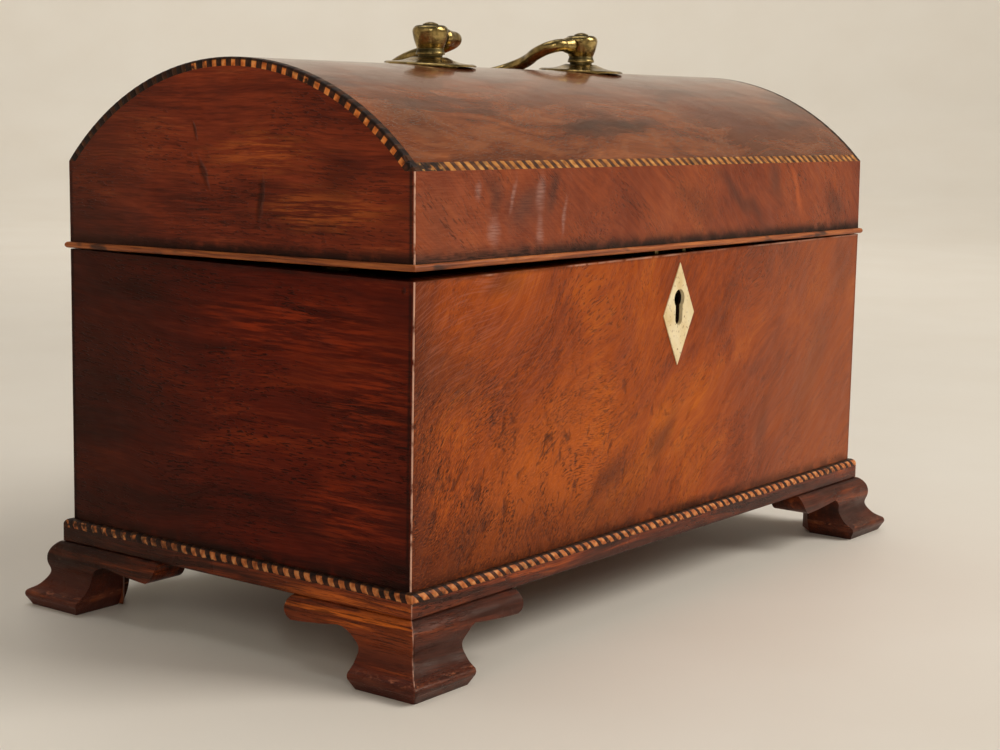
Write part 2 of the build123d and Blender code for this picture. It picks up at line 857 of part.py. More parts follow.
def handle_post(x):
    """A turned post: collar, waist, full ball and button, on a threaded shank."""
    shank_low = -dome_thickness - nut_height - shank_end
    lower = Polyline(
        (0, shank_low),
        (shank_radius, shank_low),
        (shank_radius, landing_height),
        (post_neck_radius, landing_height),
        (post_neck_radius, post_neck_height),
        (collar_radius, collar_low),
        (collar_radius, collar_high),
        (waist_radius, waist_height),
        (ball_base_radius, ball_base_height),
    )
    ball_edge = (ball_radius, ball_height)
    ball_top = (ball_top_radius, ball_top_height)
    side = ThreePointArc(lower @ 1, (ball_side_radius, ball_side_height), ball_edge)
    shoulder = ThreePointArc(ball_edge, (ball_shoulder_radius, ball_shoulder_height), ball_top)
    step_height = ball_top_height + button_edge
    step = Polyline(ball_top, (button_radius, ball_top_height), (button_radius, step_height))
    button = cap_arc(button_radius, step_height, button_height - step_height)
    axis = Line((0, button_height), (0, shank_low))
    turned = revolve(Plane.XZ * make_face([lower, side, shoulder, step, button, axis]), Axis.Z)
    post = Pos(x, handle_y, ridge_z) * turned
    inward = ALONG * (-1 if x > 0 else 1)
    hole_start = Vector(x, handle_y, bail_axis_z) + inward * (ball_radius - spigot_length - bail_side_gap)
    return post - rod(hole_start, inward, ball_radius, spigot_radius + spigot_clearance)


def handle_nuts():
    """A round nut on each shank, drawn up to the inside of the dome."""
    inner_radius = dome_radius - dome_thickness
    nut_reach = nut_radius + handle_forward
    nut_top = dome_centre_z + sqrt(inner_radius ** 2 - nut_reach ** 2)
    nuts = []
    for x in post_centres():
        nut = Pos(x, handle_y, nut_top - nut_height / 2) * Cylinder(nut_radius, nut_height)
        nuts.append(seated(nut - rod((x, handle_y, nut_top - reach), UP, 2 * reach, shank_radius)))
    return Compound(children=nuts)


# At rest the bail lies back until its grip is just above the dome
axis_distance = hypot(handle_forward, dome_radius + bail_axis_height)
axis_lean = degrees(asin(handle_forward / axis_distance))
bail_reach = 90 - degrees(asin((dome_radius + bail_radius + bail_rest_gap) / axis_distance))
bail_fall = bail_reach - axis_lean
bail_range = 180 + 2 * bail_reach


def bent_bar(start, heading, bend_radius, turn):
    """A length of the bail bent to the left by an angle; gives it and where it ends."""
    side = 1 if turn > 0 else -1
    across = Vector(-sin(radians(heading)), cos(radians(heading)), 0) * side
    centre = start + across * bend_radius
    along = Vector(cos(radians(heading)), sin(radians(heading)), 0)
    section = Plane(origin=start, z_dir=along) * Circle(bail_radius)
    bar = revolve(section, Axis(centre, Vector(0, 0, side)), abs(turn))
    end = centre + (start - centre).rotate(Axis.Z, turn)
    return bar, end


def bail_handle():
    """A swan-neck bail: in from each ball, back and outwards, then round into the grip."""
    end_x = post_spacing / 2 - ball_radius - bail_side_gap
    point = Vector(end_x - bail_taper_length, 0, 0)
    taper = Polyline(
        (point.X, 0),
        (point.X, bail_radius),
        (end_x - bail_collar_length, bail_end_radius),
        (end_x, bail_end_radius - bail_collar_edge),
        (end_x, spigot_radius),
        (end_x + spigot_length, spigot_radius),
        (end_x + spigot_length, 0),
        close=True,
    )
    half = revolve(make_face(taper), Axis.X)
    heading = 180
    bends = (
        (bail_bend_radius, -90),
        (neck_curve_radius, -neck_curve_angle),
        (neck_curve_radius, neck_curve_angle),
        (grip_curve_radius, 90),
    )
    for bend_radius, turn in bends:
        bar, point = bent_bar(point, heading, bend_radius, turn)
        half = half + bar
        heading = heading + turn
    half = half + rod(point, -ALONG, point.X, bail_radius)
    bail = half + mirror(half, Plane.YZ)
    fall = radians(bail_fall)
    origin = (handle_centre, handle_y, bail_axis_z)
    plane = Plane(origin=origin, x_dir=ALONG, z_dir=(0, sin(fall), cos(fall)))
    return plane.location * bail


# Lids of the tea compartments

tea_lid_centre_x = (divider_x + divider_thickness / 2 + inner_half_width) / 2


def tea_lid(sign):
    """A flat lid that lifts out by its knob."""
    inner = divider_x + divider_thickness / 2 + tea_lid_gap
    xs = sorted((sign * inner, sign * (inner_half_width - tea_lid_gap)))
    y = inner_half_depth - tea_lid_gap
    board = box_between((xs[0], -y, tea_lid_z), (xs[1], y, tea_lid_top_z))
    hole = Pos(sign * tea_lid_centre_x, 0, tea_lid_top_z - tea_lid_thickness / 2)
    return board - hole * Cylinder(knob_stem_radius, tea_lid_thickness)


def tea_lid_knob(sign):
    """A turned knob with a stem through the lid."""
    stem = Polyline(
        (0, -tea_lid_thickness),
        (knob_stem_radius, -tea_lid_thickness),
        (knob_stem_radius, 0),
        (knob_foot_radius, 0),
        (knob_waist_radius, knob_waist_height),
        (knob_radius, knob_belly_height),
    )
    crown = cap_arc(knob_radius, knob_belly_height, knob_height - knob_belly_height)
    axis = Line((0, knob_height), (0, -tea_lid_thickness))
    turned = revolve(Plane.XZ * make_face([stem, crown, axis]), Axis.Z)
    return Pos(sign * tea_lid_centre_x, 0, tea_lid_top_z) * turned


# Every node of the caddy

save(front_board(), "front_board")
save(back_board(), "back_board")
save(case_board("left"), "left_board")
save(case_board("right"), "right_board")
save(bottom_board(), "bottom_board")
save(divider(-1), "divider_left")
save(divider(1), "divider_right")
save(tea_lid_ledges(), "tea_lid_ledges")
save(escutcheon(), "escutcheon")
save(lock_case(), "lock_case")
save(lock_face_plate(), "lock_face_plate")
save(foot_glue_blocks(), "foot_glue_blocks")
save(hinge_pins(), "hinge_pins")

for side in OUTWARD:
    save(plinth(side), f"plinth_{side}")
    save(plinth_string(side), f"plinth_string_{side}")

for end in ("front", "back"):
    for hand in ("left", "right"):
        save(foot_bracket(end, hand), f"{end}_{hand}_foot_{end}")
        save(foot_bracket(hand, end), f"{end}_{hand}_foot_side")

save(lid_front_rail(), "lid_front_rail")
save(lid_back_rail(), "lid_back_rail")
save(lid_end("left"), "lid_left_end")
save(lid_end("right"), "lid_right_end")
save(seated(lid_dome()), "lid_dome")
for side in OUTWARD:
    save(lid_bead(side), f"lid_bead_{side}")
    save(seated(lid_string(side)), f"lid_string_{side}")
save(lock_strike_plate(), "lock_strike_plate")
save(handle_nuts(), "handle_nuts")

for hand, sign in (("left", -1), ("right", 1)):
    save(case_leaf(sign * hinge_spacing / 2), f"hinge_{hand}_case_leaf")
    save(lid_leaf(sign * hinge_spacing / 2), f"hinge_{hand}_lid_leaf")
    post_x = handle_centre + sign * post_spacing / 2
    save(seated(handle_plate(post_x)), f"handle_plate_{hand}")
    save(seated(handle_post(post_x)), f"handle_post_{hand}")
    save(tea_lid(sign), f"tea_lid_{hand}")
    save(tea_lid_knob(sign), f"tea_lid_{hand}_knob")

save(seated(bail_handle()), "bail_handle")
save(lock_bolt(), "lock_bolt")

pivot = seated(Pos(handle_centre, handle_y, bail_axis_z) * Box(1, 1, 1)).center()
further = seated(Pos(handle_centre + 1, handle_y, bail_axis_z) * Box(1, 1, 1)).center()
along = further - pivot
print("ridge", ridge_z, "shoulder", shoulder_z, "rim", rim_z)
print("lid hinge axis at y, z", knuckle_y, knuckle_z)
print("bail pivot", pivot.X, pivot.Y, pivot.Z)
print("bail axis", along.X, along.Y, along.Z, "range", bail_range)
print("lock bolt travel", bolt_travel)
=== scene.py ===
# %% [markdown]
# # An antique tea caddy
# The wooden box, its hinged lid and its brass handle were drawn as exact solids first.
# Here they come in as a fixed frame, and this file gives them what a solid cannot have:
# figured wood, wax, wear, grime, and the little blocks of the chequer stringing.
# Everything is in metres, and every new piece rides on the body that it belongs to.

# %% Load the frame
import bmesh
import bpy
from math import asin, atan2, cos, degrees, hypot, pi, radians, sin, sqrt, tan
from mathutils import Matrix, Vector
from random import Random


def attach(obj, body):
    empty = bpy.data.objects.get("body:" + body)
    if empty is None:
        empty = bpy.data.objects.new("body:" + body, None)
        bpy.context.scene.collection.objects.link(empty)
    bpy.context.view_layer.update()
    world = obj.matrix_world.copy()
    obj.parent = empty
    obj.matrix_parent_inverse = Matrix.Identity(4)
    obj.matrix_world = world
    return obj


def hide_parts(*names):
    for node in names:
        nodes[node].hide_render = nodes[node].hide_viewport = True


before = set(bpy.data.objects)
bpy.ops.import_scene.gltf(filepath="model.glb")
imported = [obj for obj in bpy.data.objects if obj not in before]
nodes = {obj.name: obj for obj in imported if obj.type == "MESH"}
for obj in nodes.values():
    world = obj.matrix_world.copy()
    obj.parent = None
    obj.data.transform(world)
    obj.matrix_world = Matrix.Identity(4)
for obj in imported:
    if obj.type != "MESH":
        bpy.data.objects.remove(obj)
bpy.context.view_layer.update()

# %% [markdown]
# ## The camera
# The photograph was taken from close by, a little above the middle of the box, from the
# front left corner. The lens, place and tilt were worked out from the box's own corners,
# so the camera is built from a direction and a roll, not aimed by eye.

# %% Camera
camera_place = Vector((-0.5096, -0.3832, 0.1596))
camera_azimuth = radians(-53.1085)
camera_elevation = radians(8.5365)
camera_roll = radians(1.0746)
camera_lens = 70.01

back = Vector((
    sin(camera_azimuth) * cos(camera_elevation),
    -cos(camera_azimuth) * cos(camera_elevation),
    sin(camera_elevation),
))
level = Vector((0, 0, 1)).cross(back).normalized()
upright = back.cross(level)
turned_right = level * cos(camera_roll) + upright * sin(camera_roll)
turned_up = upright * cos(camera_roll) - level * sin(camera_roll)

camera = bpy.data.objects.new("camera", bpy.data.cameras.new("camera"))
bpy.context.scene.collection.objects.link(camera)
camera.data.lens = camera_lens
camera.data.clip_start = 0.02
aim = Matrix((turned_right, turned_up, back)).transposed()
camera.matrix_world = Matrix.Translation(camera_place) @ aim.to_4x4()
bpy.context.scene.camera = camera
print("camera", [round(part, 3) for part in camera.location])

# %% [markdown]
# ## Shader maths in plain Python
# A wood finish is mostly arithmetic on patterns. One small class stands for a value that
# varies over the surface, so that `1 - mask * 0.5` adds its own Math nodes. Colours never
# go through it, because a Math node would turn them grey.

# %% A value, and a finish under construction
class Value:
    """Something that varies over a surface. Arithmetic on it adds Math nodes."""

    def __init__(self, finish, socket):
        self.finish = finish
        self.socket = socket

    def math(self, operation, *terms):
        inputs = dict(enumerate(terms))
        return self.finish.node("Math", {"operation": operation}, inputs)

    def __add__(self, other):
        return self.math("ADD", self, other)

    def __sub__(self, other):
        return self.math("SUBTRACT", self, other)

    def __rsub__(self, other):
        return self.math("SUBTRACT", other, self)

    def __mul__(self, other):
        return self.math("MULTIPLY", self, other)

    def __abs__(self):
        return self.math("ABSOLUTE", self)

    __radd__ = __add__


class Finish:
    """One material, and the ways of adding patterns to it."""

    def __init__(self, name, on_lid=False):
        self.material = bpy.data.materials.new(name)
        self.material.use_nodes = True
        self.tree = self.material.node_tree
        self.shader = self.tree.nodes["Principled BSDF"]
        self.place = self.node("TexCoord", out="Object")
        if on_lid:
            self.place = self.laid(self.place, lid_turn.to_euler(), start=lid_corner)
        self.origin = lid_corner if on_lid else Vector()

    def plug(self, socket, value):
        if isinstance(value, Value):
            self.tree.links.new(value.socket, socket)
        else:
            socket.default_value = value

    def node(self, kind, settings={}, inputs={}, out=0):
        """Adds any node: its settings are set first, then its sockets."""
        made = self.tree.nodes.new("ShaderNode" + kind)
        for name, setting in settings.items():
            if name == "stops":
                ramp = made.color_ramp.elements
                while len(ramp) < len(setting):
                    ramp.new(0.5)
                for stop, (position, colour) in zip(ramp, setting):
                    stop.position = position
                    stop.color = colour
            else:
                setattr(made, name, setting)
        for name, value in inputs.items():
            self.plug(made.inputs[name], value)
        return Value(self, made.outputs[out])

    def laid(self, place, turn=(0, 0, 0), size=(1, 1, 1), start=(0, 0, 0)):
        """Coordinates that start at a point, are turned, and are counted in sizes."""
        inputs = {"Vector": place, "Location": start, "Rotation": turn, "Scale": size}
        return self.node("Mapping", {"vector_type": "TEXTURE"}, inputs)

    def along(self, axis):
        return self.node("SeparateXYZ", {}, {0: self.place}, out="XYZ".index(axis))

    def noise(self, place, detail, roughness=0.5, distortion=0.0, out="Fac"):
        inputs = {"Vector": place, "Scale": 1.0, "Detail": detail, "Roughness": roughness}
        inputs["Distortion"] = distortion
        return self.node("TexNoise", {}, inputs, out=out)

    def grain(self, size, detail=2.0, roughness=0.5):
        """Plain noise in the finish's own coordinates. One size is for all directions."""
        size = size if isinstance(size, tuple) else (size, size, size)
        return self.noise(self.laid(self.place, size=size), detail, roughness)

    def step(self, value, low, high):
        """0 below low, 1 above high, and a smooth rise between."""
        inputs = {"Value": value, "From Min": low, "From Max": high}
        return self.node("MapRange", {"interpolation_type": "SMOOTHSTEP"}, inputs)

    def fade(self, value, low, high):
        return 1 - self.step(value, low, high)

    def near(self, value, target, width):
        """1 where the value is on target, falling to 0 at a width from it."""
        return self.fade(abs(value - target), 0.0, width)

    def blend(self, first, second, share):
        """The first colour where the share is 0, and the second where it is 1."""
        inputs = {0: share, 6: first, 7: second}
        return self.node("Mix", {"data_type": "RGBA"}, inputs, out=2)

    def ramp(self, value, stops):
        """The colour of a value, from colours that stand at a few of its heights."""
        return self.node("ValToRGB", {"stops": stops}, {"Fac": value})

    def vector(self, operation, first, second):
        inputs = {0: first, 1: second}
        return self.node("VectorMath", {"operation": operation}, inputs)

    def distance(self, place):
        """How far a place is from the start of its coordinates."""
        return self.node("VectorMath", {"operation": "LENGTH"}, {0: place}, out=1)

    def swirl(self, place, size, reach):
        """Bends the coordinates, as wood bends round a branch."""
        drift = self.noise(self.laid(place, size=(size, size, size)), detail=1.0, out="Color")
        centred = self.vector("SUBTRACT", drift, (0.5, 0.5, 0.5))
        return self.vector("ADD", place, self.vector("MULTIPLY", centred, (reach, reach, reach)))

    def spot(self, place, centre, size, core, turn=(0, 0, 0)):
        """A soft-edged oval at a point of the caddy: 1 in its core, 0 outside its size."""
        local = self.laid(place, turn, size, Vector(centre) - self.origin)
        return self.fade(self.distance(local), core, 1.0)

    def relief(self, height, depth):
        inputs = {"Height": height, "Distance": depth, "Strength": 1.0}
        self.set(Normal=self.node("Bump", {}, inputs))

    def set(self, **sockets):
        for name, value in sockets.items():
            self.plug(self.shader.inputs[name.replace("_", " ")], value)


def rgb(red, green, blue):
    """A screen colour, 0 to 255, as the linear colour and alpha that a shader wants."""
    def linear(part):
        part = part / 255
        return part / 12.92 if part <= 0.04045 else ((part + 0.055) / 1.055) ** 2.4
    return (linear(red), linear(green), linear(blue), 1)


print("shader maths ready")

# %% [markdown]
# ## The lid sits a little proud
# The lid is in winding, as many old lids are: its front left corner stands 2.4 mm up. Its
# pieces were drawn square and turned about the diagonal, so its patterns are laid in the
# square lid's own directions, measured from its front right corner. The other measures
# here are the solid model's own, for placing marks on it.

# %% Measures, and the lid's turn
case_width = 0.25
case_depth = 0.133
case_low = 0.0265
case_high = 0.1085
half_width = case_width / 2
half_depth = case_depth / 2
wall = 0.009
foot_height = 0.0195
lock_middle = 0.004
lid_low = 0.1088
lid_rise = 0.0024
dome_radius = 0.0892
shoulder_z = 0.1345
dome_axis_z = shoulder_z - sqrt(dome_radius ** 2 - half_depth ** 2)
ridge_z = dome_axis_z + dome_radius

lid_corner = Vector((half_width, -half_depth, lid_low))
diagonal = Vector((-case_width, case_depth, 0)).normalized()
corner_reach = case_width * case_depth / hypot(case_width, case_depth)
lid_angle = asin(lid_rise / corner_reach)
lid_turn = Matrix.Rotation(lid_angle, 4, diagonal)
seat = Matrix.Translation(lid_corner) @ lid_turn @ Matrix.Translation(-lid_corner)
print("lid turned by", round(degrees(lid_angle), 2), "degrees")

# %% [markdown]
# ## Mahogany
# Old mahogany has four things at once: a broad cloudy figure, streaks along the grain,
# short dark pores, and two centuries of wax. Each is a noise stretched along the board's
# own grain. The pores and the hand-planed ripple also go into the relief.

# %% Mahogany
pore_colour = rgb(26, 9, 6)
# Dark colour of dirt, and of the painted shade inside the keyhole.
grime_and_shade_colour = rgb(24, 15, 12)
# Pale edge colour: bare worn wood, and painted highlight on the rounded edges.
worn_and_highlight_colour = rgb(226, 176, 152)
warm_reflection = (1.0, 0.86, 0.72, 1)
relief_depth = 0.0009


class Wood(Finish):
    """Waxed mahogany with its grain along one direction."""

    def __init__(self, name, turn, tones, figure, bend, pores=0.8, on_lid=False):
        super().__init__(name, on_lid)
        self.bent = self.swirl(self.place, 0.07, bend)
        clouds = self.noise(self.laid(self.bent, turn, figure), 3.0, 0.55, 0.6)
        streaks = self.noise(self.laid(self.bent, turn, (0.05, 0.0022, 0.0022)), 4.0, 0.6)
        fibres = self.noise(self.laid(self.bent, turn, (0.01, 0.0005, 0.0005)), 2.0)
        tone = clouds * 0.52 + streaks * 0.28 + fibres * 0.2
        self.colour = self.ramp(tone, tones)
        pits = self.noise(self.laid(self.bent, turn, (0.0032, 0.00042, 0.00042)), 1.0)
        patches = self.noise(self.laid(self.bent, turn, (0.03, 0.012, 0.012)), 2.0)
        pits = self.step(pits, 0.57, 0.66) * self.step(patches, 0.38, 0.62)
        self.colour = self.blend(self.colour, pore_colour, pits * pores)
        ripple = self.noise(self.laid(self.place, turn, (0.018, 0.009, 0.009)), 2.0)
        self.height = ripple * 0.9 + fibres * 0.06 - pits * 0.12
        self.dull = self.grain(0.02, 3.0)
        self.dirt_and_shade = None

    def tint(self, mask, colour, strength):
        self.colour = self.blend(self.colour, colour, mask * strength)

    def soil_and_shade(self, mask, strength=0.85, even=False):
        """Old wax and dirt that the duster never reaches. Inside the keyhole it paints shade
        instead.
        """
        if not even:
            mask = mask * self.step(self.grain(0.005, 3.0), 0.22, 0.55)
        mask = mask * strength
        self.colour = self.blend(self.colour, grime_and_shade_colour, mask)
        self.dirt_and_shade = mask if self.dirt_and_shade is None else self.dirt_and_shade + mask

    def rub_and_highlight(self, mask, strength):
        """A pale edge: partly wood that hands have worn bare and wax has covered again, partly a
        painted highlight.
        """
        broken = self.step(self.grain((0.002, 0.002, 0.004), 3.0), 0.3, 0.5)
        self.colour = self.blend(self.colour, worn_and_highlight_colour, mask * broken * strength)

    def upright_arris(self, middle):
        """The thin pale line down each rounded corner, partly wear and partly a painted
        highlight, with old dirt beside it on the ends.
        """
        across = abs(self.along("X") - middle[0])
        depth = abs(self.along("Y") - middle[1])
        beside = self.near(depth, half_depth - 0.0013, 0.001)
        self.soil_and_shade(beside * self.step(across, half_width - 0.0009, half_width), 0.8)
        corner = across + depth - (half_width + half_depth)
        self.rub_and_highlight(self.step(corner, -0.00055, -0.0005), 1.0)

    def dent(self, centre, size, turn=(0, 0, 0)):
        """A bruise: dark at the bottom and pressed into the relief."""
        hollow = self.spot(self.swirl(self.place, 0.004, 0.0015), centre, size, 0.2, turn)
        self.soil_and_shade(hollow, 0.62, True)
        self.height = self.height - hollow * 0.45

    def front_patch(self, place, centre, size, lean, core=0.1):
        """A soft oval on the front, with its centre and size given across and up."""
        middle = (centre[0], -half_depth, centre[1])
        return self.spot(place, middle, (size[0], 1, size[1]), core, (0, radians(lean), 0))

    def leaning(self, place, lean, long, high):
        """Coordinates for marks on the front, counted in their own length and height."""
        return self.laid(place, (0, radians(lean), 0), (long, 1, high))

    def polished(self, roughness, shine, coat=0.0):
        """Wax, duller where it is dirty and where shade is painted, over the relief of the wood.
        """
        rough = roughness + self.dull * 0.2
        if self.dirt_and_shade is not None:
            rough = rough + self.dirt_and_shade * 0.25
        self.set(Base_Color=self.colour, Roughness=rough, Specular_IOR_Level=shine)
        self.set(Coat_Weight=coat, Coat_Roughness=0.09, Specular_Tint=warm_reflection)
        self.relief(self.height, relief_depth)
        return self.material


along_x = (0, 0, 0)
along_y = (0, 0, radians(90))
print("mahogany ready")

# %% [markdown]
# ## The front
# The front is flame mahogany, cut where a branch left the trunk: warm and orange, with its
# grain rising to the right. Noise alone gives grain but not this one board, so soft ovals
# are laid over it where the photograph shows its clouds. At the left the old polish has
# crazed, and those fine marks go into the colour and the relief together.

# %% The front
def case_grime(wood):
    """Dirt above the plinth, and the dirty rim under the lid."""
    up = wood.along("Z")
    wood.soil_and_shade(wood.fade(up, case_low + 0.0004, case_low + 0.0042))
    wood.soil_and_shade(wood.near(up, case_high, 0.0014), 0.5)
    return up


front_tones = [
    (0.32, rgb(88, 34, 10)),
    (0.43, rgb(128, 52, 13)),
    (0.53, rgb(156, 69, 14)),
    (0.66, rgb(182, 91, 20)),
]
flame = Wood("flame_mahogany", (0, radians(-42), 0), front_tones,
             figure=(0.075, 0.022, 0.05), bend=0.045, pores=0.45)
up = case_grime(flame)
across = flame.along("X")
wavy = flame.swirl(flame.place, 0.022, 0.016)
warm_area = flame.front_patch(wavy, (-0.062, 0.05), (0.06, 0.034), -15)
flame.tint(warm_area, rgb(196, 98, 26), 0.45)
for centre, size, lean, strength in (
    ((-0.032, 0.044), (0.017, 0.0085), -20, 0.62),
    ((-0.004, 0.051), (0.017, 0.0065), -28, 0.55),
    ((-0.088, 0.1035), (0.014, 0.006), -8, 0.45),
    ((-0.113, 0.083), (0.016, 0.03), -70, 0.42),
    ((-0.1, 0.036), (0.02, 0.007), -35, 0.35),
    ((0.06, 0.05), (0.0055, 0.018), 24, 0.42),
    ((0.094, 0.066), (0.01, 0.03), 22, 0.4),
    ((0.03, 0.09), (0.02, 0.012), -50, 0.22),
    ((0.113, 0.096), (0.012, 0.014), 15, 0.35),
):
    flame.tint(flame.front_patch(wavy, centre, size, lean), rgb(62, 26, 16), strength)
# Painted sheen: the right part of the front is greyed, as a soft reflection of the room would
# grey it.
flame.tint(flame.step(across, 0.015, 0.085), rgb(140, 82, 58), 0.42)
flame.tint(flame.fade(across, -0.125, -0.109), rgb(70, 28, 16), 0.5)
print("front clouded")

# %% The front's crazed polish, knots and edges
crackle = flame.noise(flame.leaning(flame.bent, -24, 0.0017, 0.00045), 2.0, 0.7)
clusters = flame.step(flame.grain(0.007), 0.36, 0.6)
rough_side = flame.fade(across, -0.09, 0.03) * flame.fade(up, 0.05, 0.112)
flame.tint(flame.step(crackle, 0.53, 0.59) * rough_side * clusters, rgb(44, 16, 7), 0.95)
flame.tint(flame.fade(crackle, 0.36, 0.44) * rough_side, rgb(206, 104, 34), 0.4)
flame.height = flame.height + (0.5 - crackle) * rough_side * 0.16
cracks = flame.noise(flame.leaning(flame.bent, -40, 0.006, 0.00075), 3.0, 0.72, 0.4)
groups = flame.step(flame.grain(0.014), 0.44, 0.6)
cracks = flame.step(cracks, 0.585, 0.635) * rough_side * groups
flame.tint(cracks, rgb(34, 12, 6), 0.9)
flame.height = flame.height - cracks * 0.12
# Painted sheen: pale level streaks at the upper left, as the light catches the wax there.
sheen = flame.noise(flame.leaning(flame.bent, -6, 0.009, 0.00045), 2.0, 0.6)
upper_left = flame.fade(across, -0.1, -0.03) * flame.step(up, 0.05, 0.09)
flame.tint(flame.step(sheen, 0.5, 0.66) * upper_left, rgb(168, 104, 84), 0.3)
curled = flame.swirl(flame.place, 0.006, 0.004)
knots = flame.noise(flame.leaning(curled, -62, 0.006, 0.003), 2.0, 0.6, 0.5)
lower_left = flame.fade(across, -0.05, 0.06) * flame.fade(up, 0.055, 0.1)
knots = flame.step(knots, 0.56, 0.7) * lower_left
flame.tint(knots, rgb(58, 22, 10), 0.62)
flame.height = flame.height - knots * 0.1
flame.soil_and_shade(flame.step(across, 0.1225, 0.125), 0.5)
low_shade = flame.fade(up, 0.03, 0.05) * flame.fade(across, -0.04, 0.03)
flame.tint(low_shade, rgb(82, 32, 10), 0.55)
inwards = flame.along("Y") + half_depth
# The pale line on the rounded outer edge of the rim is partly wear, partly a painted highlight.
rim_line = flame.step(up, case_high - 0.0006, case_high - 0.0003)
rim_line = rim_line * flame.fade(inwards, 0.0004, 0.001)
flame.rub_and_highlight(rim_line * flame.step(flame.grain(0.02), 0.42, 0.6), 0.4)
flame.upright_arris((0, 0))
# Painted shade: the walls inside the keyhole are darkened, where the deep hole is in shade.
keyhole = flame.spot(flame.place, (lock_middle, 0, 0.095), (0.005, 1, 0.011), 0.9)
flame.soil_and_shade(keyhole * flame.step(inwards, 0.0002, 0.0008), 0.96, True)
flame_finish = flame.polished(0.27, 0.13)
print("front finished with", len(flame.tree.nodes), "nodes")

# %% [markdown]
# ## The ends, the back and the inside
# The ends are plainer boards and much redder, with level grain, and the one in the
# photograph glows in broken streaks. The back and the inside aren't shown: they get the
# same wood, browner and with less wax, as on most caddies of this kind.

# %% The ends
end_tones = [
    (0.34, rgb(32, 8, 4)),
    (0.45, rgb(66, 15, 6)),
    (0.56, rgb(94, 25, 9)),
    (0.68, rgb(132, 48, 17)),
]
ends = Wood("end_mahogany", along_y, end_tones, figure=(0.09, 0.02, 0.02), bend=0.012)
case_grime(ends)
depth = ends.along("Y")
ends.tint(ends.step(depth, -0.02, 0.06), rgb(50, 24, 16), 0.68)
glow = ends.swirl(ends.place, 0.012, 0.01)
streaky = ends.step(ends.grain((0.02, 0.016, 0.0011), 3.0, 0.6), 0.42, 0.66)
for centre, size in (
    ((-0.052, 0.078), (0.024, 0.03)),
    ((-0.046, 0.044), (0.03, 0.016)),
    ((-0.02, 0.094), (0.045, 0.012)),
):
    mask = ends.spot(glow, (-half_width, *centre), (1, *size), 0.1)
    ends.tint(mask * streaky, rgb(164, 56, 18), 0.7)
ends.dent((-half_width, -0.0628, 0.1062), (0.02, 0.0008, 0.0012))
ends.upright_arris((0, 0))
ends.tint(ends.fade(depth, -0.08, 0.01), rgb(52, 12, 8), 0.22)
ends_finish = ends.polished(0.24, 0.09)
print("ends finished with", len(ends.tree.nodes), "nodes")

# %% The back and the inside
back_tones = [(0.32, rgb(60, 24, 14)), (0.5, rgb(100, 44, 24)), (0.7, rgb(128, 64, 36))]
backing = Wood("back_mahogany", along_x, back_tones, figure=(0.14, 0.03, 0.03), bend=0.014)
case_grime(backing)
backing_finish = backing.polished(0.32, 0.25)

inside_tones = [(0.3, rgb(86, 40, 22)), (0.5, rgb(128, 66, 38)), (0.7, rgb(154, 88, 54))]
inside_figure = (0.12, 0.03, 0.03)
inside_x = Wood("inside_mahogany", along_x, inside_tones, inside_figure, 0.01, 0.5)
inside_x_finish = inside_x.polished(0.5, 0.3)
inside_y = Wood("divider_mahogany", along_y, inside_tones, inside_figure, 0.01, 0.5)
inside_y_finish = inside_y.polished(0.5, 0.3)
print(len(bpy.data.materials), "finishes so far")

# %% [markdown]
# ## The lid's front rail
# The rail under the dome is darker than the front, with clouds leaning to the right. Pale
# hairs stand on its left: wipe marks in the wax, and partly a painted sheen. Each of those
# is a narrow upright oval, and a fine level noise breaks it into hairs.

# %% The lid's front rail
lid_front_tones = [
    (0.3, rgb(82, 34, 18)),
    (0.43, rgb(118, 50, 25)),
    (0.55, rgb(140, 65, 32)),
    (0.7, rgb(162, 84, 42)),
]


def lid_grime(wood):
    """Dirt in the angle above the bead, outside only."""
    up = wood.along("Z")
    outer_x = abs(wood.along("X") + half_width) - half_width
    outer_y = abs(wood.along("Y") - half_depth) - half_depth
    on_outside = wood.step(outer_x, -0.0022, -0.0014) + wood.step(outer_y, -0.0022, -0.0014)
    outside = wood.step(on_outside, 0.0, 1.0)
    wood.soil_and_shade(wood.fade(up, 0.002, 0.0068) * outside)
    wood.soil_and_shade(wood.fade(up, 0.002, 0.005) * outside, 0.8, True)


rail = Wood("rail_mahogany", (0, radians(38), 0), lid_front_tones,
            figure=(0.05, 0.02, 0.04), bend=0.03, pores=0.5, on_lid=True)
lid_grime(rail)
rail_wavy = rail.swirl(rail.place, 0.016, 0.012)
for centre, size, lean, colour, strength in (
    ((-0.076, 0.1245), (0.016, 0.01), 0, (84, 46, 36), 0.55),
    ((-0.064, 0.127), (0.0042, 0.0095), 12, (70, 38, 30), 0.7),
    ((-0.091, 0.1265), (0.004, 0.008), -8, (62, 36, 30), 0.6),
    ((-0.0775, 0.1255), (0.0055, 0.006), 20, (78, 46, 38), 0.5),
    ((0.012, 0.124), (0.02, 0.0065), 35, (76, 32, 19), 0.35),
    ((0.041, 0.1228), (0.028, 0.0044), 24, (78, 38, 27), 0.66),
    ((0.063, 0.128), (0.011, 0.0052), 55, (74, 36, 25), 0.58),
    ((0.079, 0.124), (0.016, 0.0032), 52, (196, 96, 44), 0.5),
    ((0.105, 0.119), (0.013, 0.0062), 50, (72, 38, 29), 0.55),
    ((-0.115, 0.1225), (0.012, 0.012), 0, (92, 44, 30), 0.35),
):
    rail.tint(rail.front_patch(rail_wavy, centre, size, lean), rgb(*colour), strength)
hairs = rail.step(rail.grain((0.006, 1, 0.00042), 2.0, 0.6), 0.38, 0.62)
hairy = rail.swirl(rail.place, 0.005, 0.0018)
